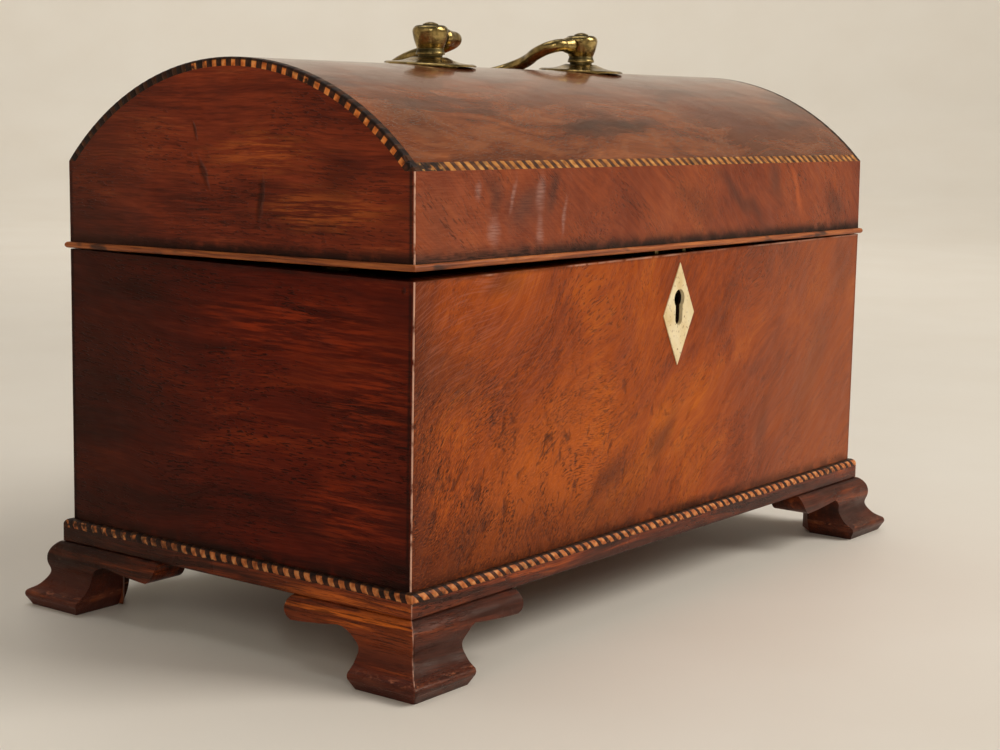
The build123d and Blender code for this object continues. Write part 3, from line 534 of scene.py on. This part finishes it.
# Pale grey wipes: marks in the wax, and partly a painted sheen.
for centre, size, lean in (
    ((-0.07, 0.1275), (0.003, 0.0075), 6),
    ((-0.0704, 0.1175), (0.0026, 0.0056), -3),
    ((-0.0585, 0.121), (0.0014, 0.0078), 9),
    ((-0.0915, 0.118), (0.004, 0.0058), -5),
    ((-0.083, 0.127), (0.0012, 0.007), 16),
    ((-0.0985, 0.129), (0.0022, 0.004), 10),
):
    wipe_and_sheen = rail.front_patch(hairy, centre, size, lean, 0.0)
    rail.tint(wipe_and_sheen, rgb(150, 112, 102), 0.34)
    rail.tint(wipe_and_sheen * hairs, rgb(176, 142, 134), 0.36)
rail.tint(hairs * rail.fade(rail.along("X"), -0.23, -0.15), rgb(176, 104, 78), 0.16)
lid_middle = (-half_width, half_depth)
rail.upright_arris(lid_middle)
rail_finish = rail.polished(0.22, 0.2)
print("rail finished with", len(rail.tree.nodes), "nodes")

# %% [markdown]
# ## The lid's ends
# The arched end boards are red like the case's ends, with dark lines along the grain and
# three old bruises. A bruise is a small leaning oval that darkens the colour and, through
# the relief, takes the light as a hollow does, so the solid needs no hole.

# %% The lid's ends
lid_end_tones = [
    (0.34, rgb(60, 20, 11)),
    (0.45, rgb(106, 38, 20)),
    (0.56, rgb(138, 55, 28)),
    (0.68, rgb(174, 86, 44)),
]
lid_end = Wood("lid_end_mahogany", along_y, lid_end_tones,
               figure=(0.08, 0.016, 0.016), bend=0.012, pores=0.5, on_lid=True)
lid_grime(lid_end)
depth = lid_end.along("Y") - half_depth
lid_end.tint(lid_end.step(depth, 0.01, 0.062), rgb(66, 34, 24), 0.55)
lines = lid_end.step(lid_end.grain((0.02, 0.014, 0.0007), 3.0, 0.65), 0.44, 0.62)
lid_end.tint(lines, rgb(52, 18, 12), 0.34)
glow = lid_end.swirl(lid_end.place, 0.012, 0.008)
for y, z, size in (
    (-0.036, 0.124, (0.02, 0.036, 0.0085)),
    (-0.012, 0.139, (0.02, 0.03, 0.008)),
):
    streak = lid_end.spot(glow, (-half_width, y, z), size, 0.0) * lines
    lid_end.tint(streak, rgb(206, 104, 44), 0.62)
for y, z, size, lean in (
    (0.01, 0.1325, (0.02, 0.0016, 0.0062), -24),
    (0.013, 0.144, (0.02, 0.0009, 0.0034), -18),
    (-0.012, 0.1255, (0.02, 0.0017, 0.0085), 6),
):
    lid_end.dent((-half_width, y, z), size, (radians(lean), 0, 0))
shadow_centre = (-half_width, -0.04, 0.131)
shadow_size = (0.02, 0.012, 0.015)
shadow = lid_end.spot(lid_end.place, shadow_centre, shadow_size, 0.0, (radians(30), 0, 0))
lid_end.tint(shadow, rgb(44, 16, 12), 0.45)
lid_end.upright_arris(lid_middle)
lid_end_finish = lid_end.polished(0.24, 0.14)
print("lid ends finished with", len(lid_end.tree.nodes), "nodes")

# %% [markdown]
# ## The dome
# The dome is browner, where the sun has been on it, and it alone has a clear coat, because
# it shows the room's light as a band. Its figure runs along the ridge in ragged patches:
# one noise is cut at two heights, dark above and pale below. The large stains are ovals
# in coordinates that were bent twice, so that their edges are ragged too.

# %% The dome
string_z = shoulder_z - lid_low
dome_tones = [
    (0.32, rgb(64, 29, 15)),
    (0.44, rgb(106, 52, 26)),
    (0.56, rgb(136, 73, 38)),
    (0.68, rgb(168, 100, 56)),
]
dome = Wood("dome_mahogany", along_x, dome_tones,
            figure=(0.1, 0.02, 0.03), bend=0.03, pores=0.12, on_lid=True)
dome_wavy = dome.swirl(dome.place, 0.03, 0.02)
edges = dome.noise(dome.laid(dome_wavy, size=(0.06, 0.014, 0.022)), 4.0, 0.6, 0.8)
dome.tint(dome.step(edges, 0.5, 0.56), rgb(64, 27, 15), 0.42)
dome.tint(dome.fade(edges, 0.38, 0.44), rgb(158, 98, 62), 0.26)
ragged = dome.swirl(dome_wavy, 0.008, 0.005)
for centre, size, lean, colour, strength in (
    ((-0.023, -0.0545, 0.146), (0.034, 0.005, 0.008), -10, (40, 22, 16), 0.56),
    ((-0.005, -0.0575, 0.1435), (0.022, 0.0032, 0.006), -8, (34, 20, 15), 0.46),
    ((0.115, -0.044, 0.153), (0.02, 0.01, 0.01), -12, (42, 22, 20), 0.62),
    ((0.056, -0.049, 0.149), (0.036, 0.012, 0.012), -14, (100, 42, 20), 0.6),
    ((-0.024, -0.041, 0.154), (0.018, 0.008, 0.008), -14, (108, 52, 26), 0.45),
    ((-0.103, -0.05, 0.148), (0.016, 0.014, 0.012), 0, (62, 40, 30), 0.45),
):
    stain = dome.spot(ragged, centre, size, 0.25, (0, 0, radians(lean)))
    dome.tint(stain, rgb(*colour), strength)
dome.soil_and_shade(dome.fade(dome.along("Z") - string_z, 0.0004, 0.003), 0.4)
dome.height = dome.height * 0.55
dome.tint(dome.step(dome.along("X"), -0.13, -0.02), rgb(84, 42, 20), 0.34)
dome_finish = dome.polished(0.1, 0.2, 0.3)
print("dome finished with", len(dome.tree.nodes), "nodes")

# %% [markdown]
# ## The plinth and feet
# The mouldings are dark, and orange where hands have rubbed them. Their marks follow the
# height above the shelf: dirt in the hollow of the ogee and in the joint under the plinth,
# and bare wood on the toes, with painted highlights on their edges. The sides are lighter
# near the front, a painted light, and the back is darker, a painted shade. The grain
# follows each length, so fronts and sides need a finish each, and a pale line stands at
# the corners where the two are mitred: partly wear, partly a painted highlight.

# %% The plinth and feet
foot_tones = [
    (0.36, rgb(30, 12, 8)),
    (0.46, rgb(72, 29, 16)),
    (0.55, rgb(116, 48, 22)),
    (0.66, rgb(188, 88, 34)),
]
foot_finishes = {}
for name, turn in (("front", along_x), ("side", along_y)):
    foot = Wood(f"foot_{name}_mahogany", turn, foot_tones, (0.05, 0.004, 0.004), 0.008)
    foot_up = foot.along("Z")
    depth = foot.along("Y")
    foot.soil_and_shade(foot.fade(foot_up, 0.0, 0.0026), 0.6)
    foot.soil_and_shade(foot.near(foot_up, foot_height, 0.0009))
    foot.soil_and_shade(foot.near(foot_up, 0.0096, 0.0035), 0.5)
    # Painted shade: darker towards the back, so the back feet and plinth stay dark.
    foot.tint(foot.step(depth, 0.0, 0.06), rgb(34, 18, 13), 0.7)
    toe_patches = foot.step(foot.grain((0.01, 0.01, 0.003)), 0.5, 0.7)
    foot.tint(foot.near(foot_up, 0.0044, 0.0016) * toe_patches, rgb(190, 100, 50), 0.6)
    if name == "side":
        streaky = foot.step(foot.grain((0.03, 0.03, 0.0013), 3.0, 0.6), 0.44, 0.58)
        rubbed = foot.near(foot_up, 0.0172, 0.003) + foot.near(foot_up, 0.0212, 0.003) * 0.7
        near_front = foot.fade(depth, -0.045, -0.01)
        upper = foot.step(foot_up, 0.006, 0.012)
        # Painted light: the side is lighter near the front, where the light falls on it.
        foot.tint(near_front * upper, rgb(150, 66, 28), 0.45)
        foot.tint(rubbed * near_front * streaky, rgb(222, 112, 38), 0.9)
        lines = foot.step(foot.grain((0.012, 0.012, 0.00045), 3.0, 0.65), 0.52, 0.6)
        foot.tint(lines, rgb(40, 15, 9), 0.62)
        foot.tint(foot.fade(foot_up, 0.009, 0.0135), rgb(96, 44, 34), 0.4)
    else:
        foot.tint(foot.fade(foot_up, 0.02, 0.0245), rgb(58, 32, 26), 0.62)
    # The pale mitre line is partly wear, partly a painted highlight on the corner.
    mitre = abs(foot.along("X")) - abs(depth) - (half_width - half_depth)
    mitre_line = foot.near(mitre, 0.0, 0.0004) * foot.step(foot_up, 0.0015, 0.0035)
    foot.rub_and_highlight(mitre_line * foot.step(foot.grain((0.02, 0.02, 0.006), 3.0), 0.36, 0.56), 0.62)
    # Pale flecks at the toes: chips, and painted highlights on their edges.
    toe_chips_and_highlights = foot.step(foot.grain((0.003, 0.003, 0.0009), 3.0, 0.7), 0.5, 0.66)
    foot.tint(foot.near(foot_up, 0.0048, 0.0009) * toe_chips_and_highlights, rgb(186, 112, 78), 0.55)
    scuffs = foot.step(foot.grain((0.012, 0.012, 0.001), 2.0, 0.6), 0.46, 0.6)
    foot.tint(foot.near(foot_up, 0.0035, 0.003) * scuffs, rgb(112, 60, 44), 0.4)
    foot_finishes[name] = foot.polished(0.2, 0.18)
print(len(bpy.data.materials), "finishes so far")

# %% [markdown]
# ## Boxwood bead
# A half-round of orange boxwood runs round the lid's lower edge. It is too small to show
# much grain, so its finish is only fine streaks in three tones, and soft noise for the
# places where it is nearly black from old glue and dirt.

# %% Boxwood bead
bead = Finish("boxwood_bead")
bead_streaks = bead.grain((0.02, 0.02, 0.0007), 3.0, 0.6)
bead_stops = [(0.3, rgb(94, 42, 16)), (0.5, rgb(154, 80, 34)), (0.7, rgb(188, 110, 52))]
bead_colour = bead.ramp(bead_streaks, bead_stops)
stains = bead.grain((0.012, 0.012, 0.004), 2.0, 0.6)
bead_colour = bead.blend(bead_colour, grime_and_shade_colour, bead.step(stains, 0.58, 0.7) * 0.8)
bead.set(Base_Color=bead_colour, Roughness=0.34 + stains * 0.2, Specular_IOR_Level=0.3)
bead.relief(bead_streaks, 0.0002)
print("bead finish ready")

# %% [markdown]
# ## Chequer stringing
# The strings are made of hundreds of little blocks, light box and black dyed wood in turn,
# sawn aslant from a glued bundle and let into the edges. Painting stripes on the strings
# would look flat, so each string's solid is sawn through at every joint instead, and the
# middle of each saw cut is pressed in to make the fine groove between two blocks.

# %% Finishes of the blocks
string_dirt = rgb(34, 21, 15)
flattened = 1000  # Counted in this size, a direction no longer adds to a distance.


def block_finish(name, stops, roughness, where):
    """One kind of block, with the dirt that its string has gathered."""
    block = Finish(name, where != "plinth")
    lots = block.grain(0.0016, 0.0)
    fibres = block.grain((0.0012, 0.0003, 0.0003))
    colour = block.ramp(lots * 0.7 + fibres * 0.3, stops)
    smear = block.step(block.grain(0.009, 2.0, 0.6), 0.52, 0.68)
    broken = block.step(block.grain(0.0014), 0.3, 0.62)
    if where == "arch":
        depth = block.along("Y") - half_depth
        inwards = half_width - abs(block.along("X") + half_width)
        axis_start = (0, half_depth, dome_axis_z - lid_low)
        from_axis = block.laid(block.place, size=(flattened, 1, 1), start=axis_start)
        outwards = block.distance(from_axis) - dome_radius
        dirt = smear * 0.8 + block.step(depth, 0.002, 0.014)
        dirt = dirt + block.near(depth, -0.0285, 0.005) + block.fade(depth, -0.064, -0.061)
        seam = block.step(inwards, 0.0003, 0.0006) + block.step(outwards, -0.0009, -0.0006)
        seam = seam + block.step(depth, 0.012, 0.022) * 0.86
    elif where == "shoulder":
        across = block.along("X") + half_width
        left_end = block.fade(across, -0.115, -0.1115) * block.step(across, -0.1236, -0.123)
        dirt = smear * 0.6 + left_end * 1.6
        seam = 0.0
    else:
        up = block.along("Z")
        dirt = smear * 0.7 + block.fade(up, 0.024, 0.0244)
        dirt = dirt + block.step(block.along("Y"), -0.01, 0.05) * 0.9
        corner_centre = (-half_width + 0.012, -half_depth - 0.004, 0.025)
        corner = block.spot(block.place, corner_centre, (0.014, 0.0024, 0.006), 0.5)
        dirt = dirt + corner * 0.75
        seam = block.step(up, case_low - 0.00055, case_low - 0.00025)
    dirt = dirt * broken + seam
    colour = block.blend(colour, string_dirt, dirt.math("MINIMUM", dirt, 0.94))
    block.set(Base_Color=colour, Roughness=roughness + fibres * 0.15, Specular_IOR_Level=0.14)
    block.relief(fibres, 0.0001)
    return block.material


box_stops = [(0.3, rgb(138, 70, 34)), (0.5, rgb(190, 110, 58)), (0.7, rgb(216, 148, 92))]
arch_stops = [(0.3, rgb(164, 78, 30)), (0.5, rgb(222, 124, 54)), (0.7, rgb(242, 160, 88))]
dyed_stops = [(0.3, rgb(26, 15, 10)), (0.5, rgb(58, 31, 20)), (0.7, rgb(86, 46, 28))]
golden_stops = [(0.3, rgb(132, 76, 32)), (0.5, rgb(180, 116, 54)), (0.7, rgb(204, 148, 82))]
faded_stops = [(0.3, rgb(54, 32, 20)), (0.5, rgb(88, 50, 30)), (0.7, rgb(112, 68, 40))]
blocks = {}
for where, light_stops, dark_stops in (
    ("plinth", box_stops, dyed_stops),
    ("shoulder", golden_stops, faded_stops),
    ("arch", arch_stops, dyed_stops),
):
    light = block_finish(f"{where}_light_block", light_stops, 0.32, where)
    blocks[where] = [light, block_finish(f"{where}_dark_block", dark_stops, 0.36, where)]
print(len(blocks) * 2, "block finishes")

# %% The saw
groove = 0.00009
groove_waist = 0.93
sharp_angle = radians(30)
block_random = Random(1790)


def merged_copy(node):
    """A node's mesh with its loose triangles joined."""
    bm = bmesh.new()
    bm.from_mesh(nodes[node].data)
    bmesh.ops.remove_doubles(bm, verts=bm.verts, dist=1e-6)
    return bm


def saw(bm, point, normal):
    """One cut by a plane. Returns the corners that the cut has made."""
    geometry = bm.verts[:] + bm.edges[:] + bm.faces[:]
    cut = bmesh.ops.bisect_plane(bm, geom=geometry, dist=1e-7, plane_co=point, plane_no=normal)
    return [part for part in cut["geom_cut"] if isinstance(part, bmesh.types.BMVert)]


def saw_joint(bm, point, normal):
    """Two cuts a hair apart, and a middle one whose corners are pressed in."""
    for side in (-groove, groove):
        saw(bm, point + normal * side, normal)
    middle = saw(bm, point, normal)
    if not middle:
        return
    centre = sum((vert.co for vert in middle), Vector()) / len(middle)
    for vert in middle:
        vert.co = centre + (vert.co - centre) * groove_waist


def shade(bm):
    """Curves shaded round, with every edge of more than 30 degrees left crisp."""
    bm.normal_update()
    for face in bm.faces:
        face.smooth = True
    for edge in bm.edges:
        edge.smooth = len(edge.link_faces) == 2 and edge.calc_face_angle() < sharp_angle


def finish_piece(name, bm, materials, body, replaced=(), matrix=None):
    """Makes the mesh an object that moves with its body, and may stand for nodes."""
    if matrix is not None:
        bmesh.ops.transform(bm, matrix=matrix, verts=bm.verts)
    shade(bm)
    mesh = bpy.data.meshes.new(name)
    bm.to_mesh(mesh)
    bm.free()
    for material in materials:
        mesh.materials.append(material)
    piece = bpy.data.objects.new(name, mesh)
    bpy.context.scene.collection.objects.link(piece)
    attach(piece, body)
    if replaced:
        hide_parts(*replaced)
    print(name, len(mesh.polygons))


def joint_places(start, end, light, dark):
    """Where the joints fall: light and dark blocks in turn, cut a little unevenly."""
    pairs = round((end - start) / (light + dark))
    lengths = [light if index % 2 == 0 else dark for index in range(2 * pairs + 1)]
    lengths = [length * block_random.uniform(0.86, 1.14) for length in lengths]
    scale = (end - start) / sum(lengths)
    places = [start]
    for length in lengths:
        places.append(places[-1] + length * scale)
    return places


def colour_blocks(bm, places, measure):
    """Gives each face the light or dark material of the block that it lies in."""
    for face in bm.faces:
        place = measure(face.calc_center_median())
        passed = sum(1 for joint in places[1:-1] if joint < place)
        face.material_index = passed % 2


def straight_string(name, node, axis, lean, light, dark, where):
    """A string along X (axis 0) or Y (axis 1), sawn into leaning blocks."""
    on_lid = where != "plinth"
    bm = merged_copy(node)
    if on_lid:
        bmesh.ops.transform(bm, matrix=seat.inverted(), verts=bm.verts)
    ends = [vert.co[axis] for vert in bm.verts]
    heights = [vert.co.z for vert in bm.verts]
    middle_z = (min(heights) + max(heights)) / 2
    normal = Vector((0, 0, sin(lean)))
    normal[axis] = cos(lean)
    places = joint_places(min(ends), max(ends), light, dark)
    for joint in places[1:-1]:
        point = Vector((0, 0, middle_z))
        point[axis] = joint
        saw_joint(bm, point, normal)
    colour_blocks(bm, places, lambda at: at[axis] + (at.z - middle_z) * tan(lean))
    body, matrix = ("lid", seat) if on_lid else ("case", None)
    finish_piece(name, bm, blocks[where], body, (node,), matrix)


def arched_string(name, node, light, dark):
    """The string round one end of the dome, sawn on lines through the dome's axis."""
    bm = merged_copy(node)
    bmesh.ops.transform(bm, matrix=seat.inverted(), verts=bm.verts)
    half_angle = asin(half_depth / dome_radius)
    places = joint_places(-half_angle, half_angle, light / dome_radius, dark / dome_radius)
    for angle in places[1:-1]:
        point = Vector((0, sin(angle), cos(angle))) * dome_radius
        point.z += dome_axis_z
        saw_joint(bm, point, Vector((0, cos(angle), -sin(angle))))
    colour_blocks(bm, places, lambda at: atan2(at.y, at.z - dome_axis_z))
    finish_piece(name, bm, blocks["arch"], "lid", (node,), seat)


# %% Saw all eight strings
for side, axis, lean, light, dark in (
    ("front", 0, 43, 0.0023, 0.0018),
    ("back", 0, -43, 0.0023, 0.0018),
    ("left", 1, -32, 0.002, 0.0021),
    ("right", 1, 32, 0.002, 0.0021),
):
    straight_string(f"plinth_chequer_{side}", f"plinth_string_{side}",
                    axis, radians(lean), light, dark, "plinth")
for side, lean in (("front", 16), ("back", -16)):
    straight_string(f"shoulder_chequer_{side}", f"lid_string_{side}",
                    0, radians(lean), 0.0022, 0.0019, "shoulder")
for side in ("left", "right"):
    arched_string(f"arch_chequer_{side}", f"lid_string_{side}", 0.0018, 0.0023)

# %% [markdown]
# ## The dome's end faces
# Below the end strings, the dome's own end faces show as part of the end boards. The
# dome is one solid, so its copy gets the end boards' finish on the faces that look sideways,
# and plain waxed wood on the faces that look down into the lid.

# %% The dome's three finishes
shell = merged_copy("lid_dome")
for face in shell.faces:
    outwards = face.calc_center_median() - Vector((0, 0, dome_axis_z))
    outwards.x = 0
    if abs(face.normal.x) > 0.7:
        face.material_index = 1
    elif face.normal.dot(outwards) < 0:
        face.material_index = 2
dome_finishes = [dome_finish, lid_end_finish, inside_x_finish]
finish_piece("dome_shell", shell, dome_finishes, "lid", ("lid_dome",))

# %% [markdown]
# ## Aged brass
# The plates, posts and bail were turned and cast, then lacquered and rubbed for two
# hundred years: bright where fingers go, brown and a little green in the hollows. The
# turned hollows are found by their height on the posts, and each plate's dirty rim by its
# distance from the post's own axis.

# %% Aged brass
post_places = ((-0.04, -0.0023), (0.0412, -0.0023))
plate_radius = 0.0124
turned_hollows = ((0.012, 0.0006), (0.0044, 0.0011), (0.0026, 0.0006))
brass_stops = [
    (0.32, rgb(198, 172, 114)),
    (0.47, rgb(160, 137, 86)),
    (0.6, rgb(110, 94, 56)),
    (0.76, rgb(66, 56, 34)),
]


def brass_finish(name, on_lid=False, dull=0.0):
    """Old brass; on the lid it is darkest in the turned hollows of the posts. Dull darkens all
    of it, as tarnish and painted shade.
    """
    brass = Finish(name, on_lid)
    tarnish = brass.grain((0.004, 0.004, 0.003), 4.0, 0.65)
    mottle = brass.grain(0.0012, 2.0)
    colour = brass.ramp(tarnish * 0.75 + mottle * 0.25, brass_stops)
    colour = brass.blend(colour, rgb(52, 42, 24), dull)
    rough = 0.12 + tarnish * 0.24
    if on_lid:
        up = brass.along("Z") - (ridge_z - lid_low)
        dark = sum(brass.near(up, height, width) for height, width in turned_hollows)
        for place in post_places:
            post_start = Vector((*place, 0)) - lid_corner
            from_post = brass.laid(brass.place, size=(1, 1, flattened), start=post_start)
            dark = dark + brass.near(brass.distance(from_post), plate_radius, 0.0006) * 0.8
        dark = (dark * brass.step(mottle, 0.25, 0.6)).math("MINIMUM", dark, 0.85)
        colour = brass.blend(colour, rgb(44, 40, 22), dark)
        rough = rough + dark * 0.3
    brass.set(Base_Color=colour, Metallic=1.0, Roughness=rough)
    brass.relief(mottle * 0.4 + tarnish, 0.00015)
    return brass.material


mount_brass = brass_finish("mount_brass", on_lid=True)
bail_brass = brass_finish("bail_brass")
# The lock's brass is darkened as tarnish and as painted shade, so that its staples in the gap
# under the lid stay dark.
lock_brass = brass_finish("lock_brass", dull=0.55)
print("brass finishes ready")

# %% [markdown]
# ## The plates' thin rims
# A real plate is pressed thinner towards its edge. The solid has one thickness, so a copy
# of it is laid flat, and its upper points come down the further they are from the post.

# %% The plates' thin rims
post_tilt = Matrix.Rotation(radians(3), 4, "X")
plate_lift = 0.00005
flat_radius = 0.0065
thinning = 80
thinnest = 0.5


def thin_rimmed(side, place):
    """A handle plate pressed down towards its edge."""
    upright = seat @ Matrix.Translation((*place, ridge_z + plate_lift)) @ post_tilt
    bm = merged_copy(f"handle_plate_{side}")
    bmesh.ops.transform(bm, matrix=upright.inverted(), verts=bm.verts)
    for vert in bm.verts:
        reach = hypot(vert.co.x, vert.co.y)
        if vert.co.z > 0:
            vert.co.z *= min(1.0, max(thinnest, 1 - (reach - flat_radius) * thinning))
    replaced = (f"handle_plate_{side}",)
    finish_piece(f"handle_mount_{side}", bm, [mount_brass], "lid", replaced, upright)


for side, place in zip(("left", "right"), post_places):
    thin_rimmed(side, place)

# %% [markdown]
# ## Bone
# The escutcheon is a slip of bone, let into the front round the keyhole, and the inner
# lids' knobs are turned from it too. Bone is cream, with yellow clouds and fine brown
# pits where its small vessels were, so one wide noise and one fine noise are enough.

# %% Bone
bone = Finish("old_bone")
bone_clouds = bone.grain((0.006, 0.006, 0.009), 3.0)
bone_stops = [(0.3, rgb(218, 192, 138)), (0.5, rgb(232, 212, 166)), (0.7, rgb(240, 226, 190))]
bone_colour = bone.ramp(bone_clouds, bone_stops)
specks = bone.grain((0.0006, 0.0006, 0.0011), 1.0)
bone_colour = bone.blend(bone_colour, rgb(132, 88, 44), bone.step(specks, 0.66, 0.74) * 0.8)
bone.set(Base_Color=bone_colour, Roughness=0.38 + bone_clouds * 0.15, Specular_IOR_Level=0.4)
bone.relief(specks, 0.0001)
bone_finish = bone.material
print("bone finish ready")

# %% [markdown]
# ## Screws
# The hinges and the lock are held by small countersunk screws with hand-sawn slots.
# Each head is a short cone; the slot is a strip between two cuts, pressed down.

# %% Screws
head_radius = 0.0018
head_height = 0.001
head_proud = 0.00005
slot_half = 0.00022
slot_depth = 0.0004


def screw_head(bm, point, outwards, turn):
    """One slotted head, a hair proud of the plate that it holds."""
    head = bmesh.new()
    bmesh.ops.create_cone(head, cap_ends=True, segments=24, depth=head_height,
                          radius1=head_radius * 0.6, radius2=head_radius)
    for side in (-slot_half, slot_half):
        saw(head, Vector((0, side, 0)), Vector((0, 1, 0)))
    top = [face for face in head.faces if face.normal.z > 0.9]
    strip = [face for face in top if abs(face.calc_center_median().y) < slot_half * 0.5]
    bmesh.ops.inset_region(head, faces=strip, thickness=0.00002, depth=-slot_depth)
    aimed = Vector((0, 0, 1)).rotation_difference(outwards).to_matrix().to_4x4()
    sink = Matrix.Translation((0, 0, head_proud - head_height / 2))
    placed = Matrix.Translation(point) @ aimed @ Matrix.Rotation(turn, 4, "Z") @ sink
    bmesh.ops.transform(head, matrix=placed, verts=head.verts)
    made = bpy.data.meshes.new("one_screw")
    head.to_mesh(made)
    head.free()
    bm.from_mesh(made)
    bpy.data.meshes.remove(made)


upwards = Vector((0, 0, 1))
inwards = Vector((0, 1, 0))
hinge_places = (-0.08, 0.08)
leaf_holes = ((-0.0115, 0.0027), (0, 0.0048), (0.0115, 0.0027))
lock_holes_reach = 0.023
lock_holes_down = (0.0047, 0.0218)

case_screws = bmesh.new()
lid_screws = bmesh.new()
for hinge_x in hinge_places:
    for step, inset in leaf_holes:
        x, y = hinge_x + step, half_depth - inset
        screw_head(case_screws, Vector((x, y, case_high)), upwards, block_random.uniform(0, pi))
        screw_head(lid_screws, Vector((x, y, lid_low)), -upwards, block_random.uniform(0, pi))
for x in (lock_middle - lock_holes_reach, lock_middle + lock_holes_reach):
    for down in lock_holes_down:
        point = Vector((x, wall - half_depth, case_high - down))
        screw_head(case_screws, point, inwards, block_random.uniform(0, pi))
finish_piece("case_screw_heads", case_screws, [lock_brass], "case")
finish_piece("lid_screw_heads", lid_screws, [lock_brass], "lid")

# %% [markdown]
# ## Every piece gets its finish
# The boards are named one by one. The many lengths of plinth, foot and bead go by the
# start of their names, and all that is left, lock and hinges, is of brass darkened by tarnish
# and painted shade.

# %% Give every node its finish
finishes = {}
for finish, names in (
    (flame_finish, "front_board"),
    (ends_finish, "left_board right_board"),
    (backing_finish, "back_board lid_back_rail"),
    (rail_finish, "lid_front_rail"),
    (lid_end_finish, "lid_left_end lid_right_end"),
    (dome_finish, "lid_dome"),
    (inside_x_finish, "bottom_board foot_glue_blocks"),
    (inside_y_finish, "tea_lid_left tea_lid_right divider_left divider_right tea_lid_ledges"),
    (bone_finish, "escutcheon tea_lid_left_knob tea_lid_right_knob"),
    (bail_brass, "bail_handle"),
):
    finishes.update({name: finish for name in names.split()})
for name, node in nodes.items():
    if name.startswith(("plinth_", "front_left_", "front_right_", "back_left_", "back_right_")):
        side = name.endswith(("side", "left", "right"))
        finishes.setdefault(name, foot_finishes["side" if side else "front"])
    elif name.startswith("lid_bead"):
        finishes.setdefault(name, bead.material)
    elif name.startswith("handle_"):
        finishes.setdefault(name, mount_brass)
    finishes.setdefault(name, lock_brass)
    for index in range(len(node.material_slots)):
        node.material_slots[index].material = finishes[name]
print(len(nodes), "nodes finished")

# %% [markdown]
# ## The studio
# A pale floor runs up into a pale wall all round, like a photographer's cove, so that
# there is no horizon from any side. It is one outline of a floor, a bend and a wall, spun
# round the middle.

# %% The cove
cove_path = [
    (0.0, 0.0), (1.6, 0.0), (1.9, 0.03), (2.15, 0.14), (2.32, 0.34), (2.4, 0.62), (2.4, 2.2),
]
cove = bmesh.new()
rim = [cove.verts.new((reach, 0, height)) for reach, height in cove_path]
line = [cove.edges.new(pair) for pair in zip(rim, rim[1:])]
bmesh.ops.spin(cove, geom=rim + line, cent=(0, 0, 0), axis=(0, 0, 1), angle=2 * pi,
               steps=64, use_merge=True)
bmesh.ops.remove_doubles(cove, verts=cove.verts, dist=1e-5)
bmesh.ops.recalc_face_normals(cove, faces=cove.faces)
if sum(face.normal.z for face in cove.faces if face.calc_center_median().z < 1e-4) < 0:
    bmesh.ops.reverse_faces(cove, faces=cove.faces)
cove_mesh = bpy.data.meshes.new("cove")
cove.to_mesh(cove_mesh)
cove.free()
for face in cove_mesh.polygons:
    face.use_smooth = True
cove_object = bpy.data.objects.new("cove", cove_mesh)
bpy.context.scene.collection.objects.link(cove_object)
paint = Finish("cove_paint")
marks = paint.grain(0.09, 3.0)
paint_stops = [(0.3, rgb(228, 221, 209)), (0.7, rgb(231, 225, 214))]
paint.set(Base_Color=paint.ramp(marks, paint_stops), Roughness=0.55)
cove_mesh.materials.append(paint.material)
print("cove", len(cove_mesh.polygons))

# %% [markdown]
# ## Lights
# One large soft light stands on the right of the front, as the window does in the
# photograph. Weaker ones fill in from above, from the wall and from the left, and a narrow
# one behind the camera is there to be reflected by the brass. A dim grey sky does the rest.

# %% Lights
def softbox(name, place, target, size, power, colour):
    """A rectangle of light that is turned towards its target."""
    light = bpy.data.lights.new(name, "AREA")
    light.shape = "RECTANGLE"
    light.size, light.size_y = size
    light.energy = power
    light.color = colour
    lamp = bpy.data.objects.new(name, light)
    bpy.context.scene.collection.objects.link(lamp)
    lamp.location = place
    towards_lamp = Vector(place) - Vector(target)
    lamp.rotation_euler = towards_lamp.to_track_quat("Z", "Y").to_euler()


softbox("window", (0.8, -1.2, 1.25), (0, 0, 0.08), (0.9, 1.0), 23.5, (1.0, 0.96, 0.9))
softbox("ceiling", (0.2, 0.5, 1.9), (0, 0.1, 0), (1.4, 1.2), 9, (1.0, 0.98, 0.95))
softbox("wall wash", (0.75, 0.75, 1.1), (1.9, 1.5, 0.4), (0.8, 0.5), 7, (1.0, 0.97, 0.92))
softbox("room", (-1.6, -0.2, 0.9), (0, 0, 0.08), (0.8, 0.8), 1.0, (1.0, 0.95, 0.88))
softbox("far window", (-1.15, -1.05, 0.85), (0, 0, 0.12), (0.22, 0.7), 3.4, (1.0, 0.97, 0.94))

world = bpy.data.worlds.new("sky")
world.use_nodes = True
sky = world.node_tree.nodes["Background"]
sky.inputs["Color"].default_value = (0.9, 0.88, 0.86, 1)
sky.inputs["Strength"].default_value = 0.16
bpy.context.scene.world = world
bpy.context.scene.view_settings.view_transform = "Standard"
print(len(bpy.data.lights), "lights")
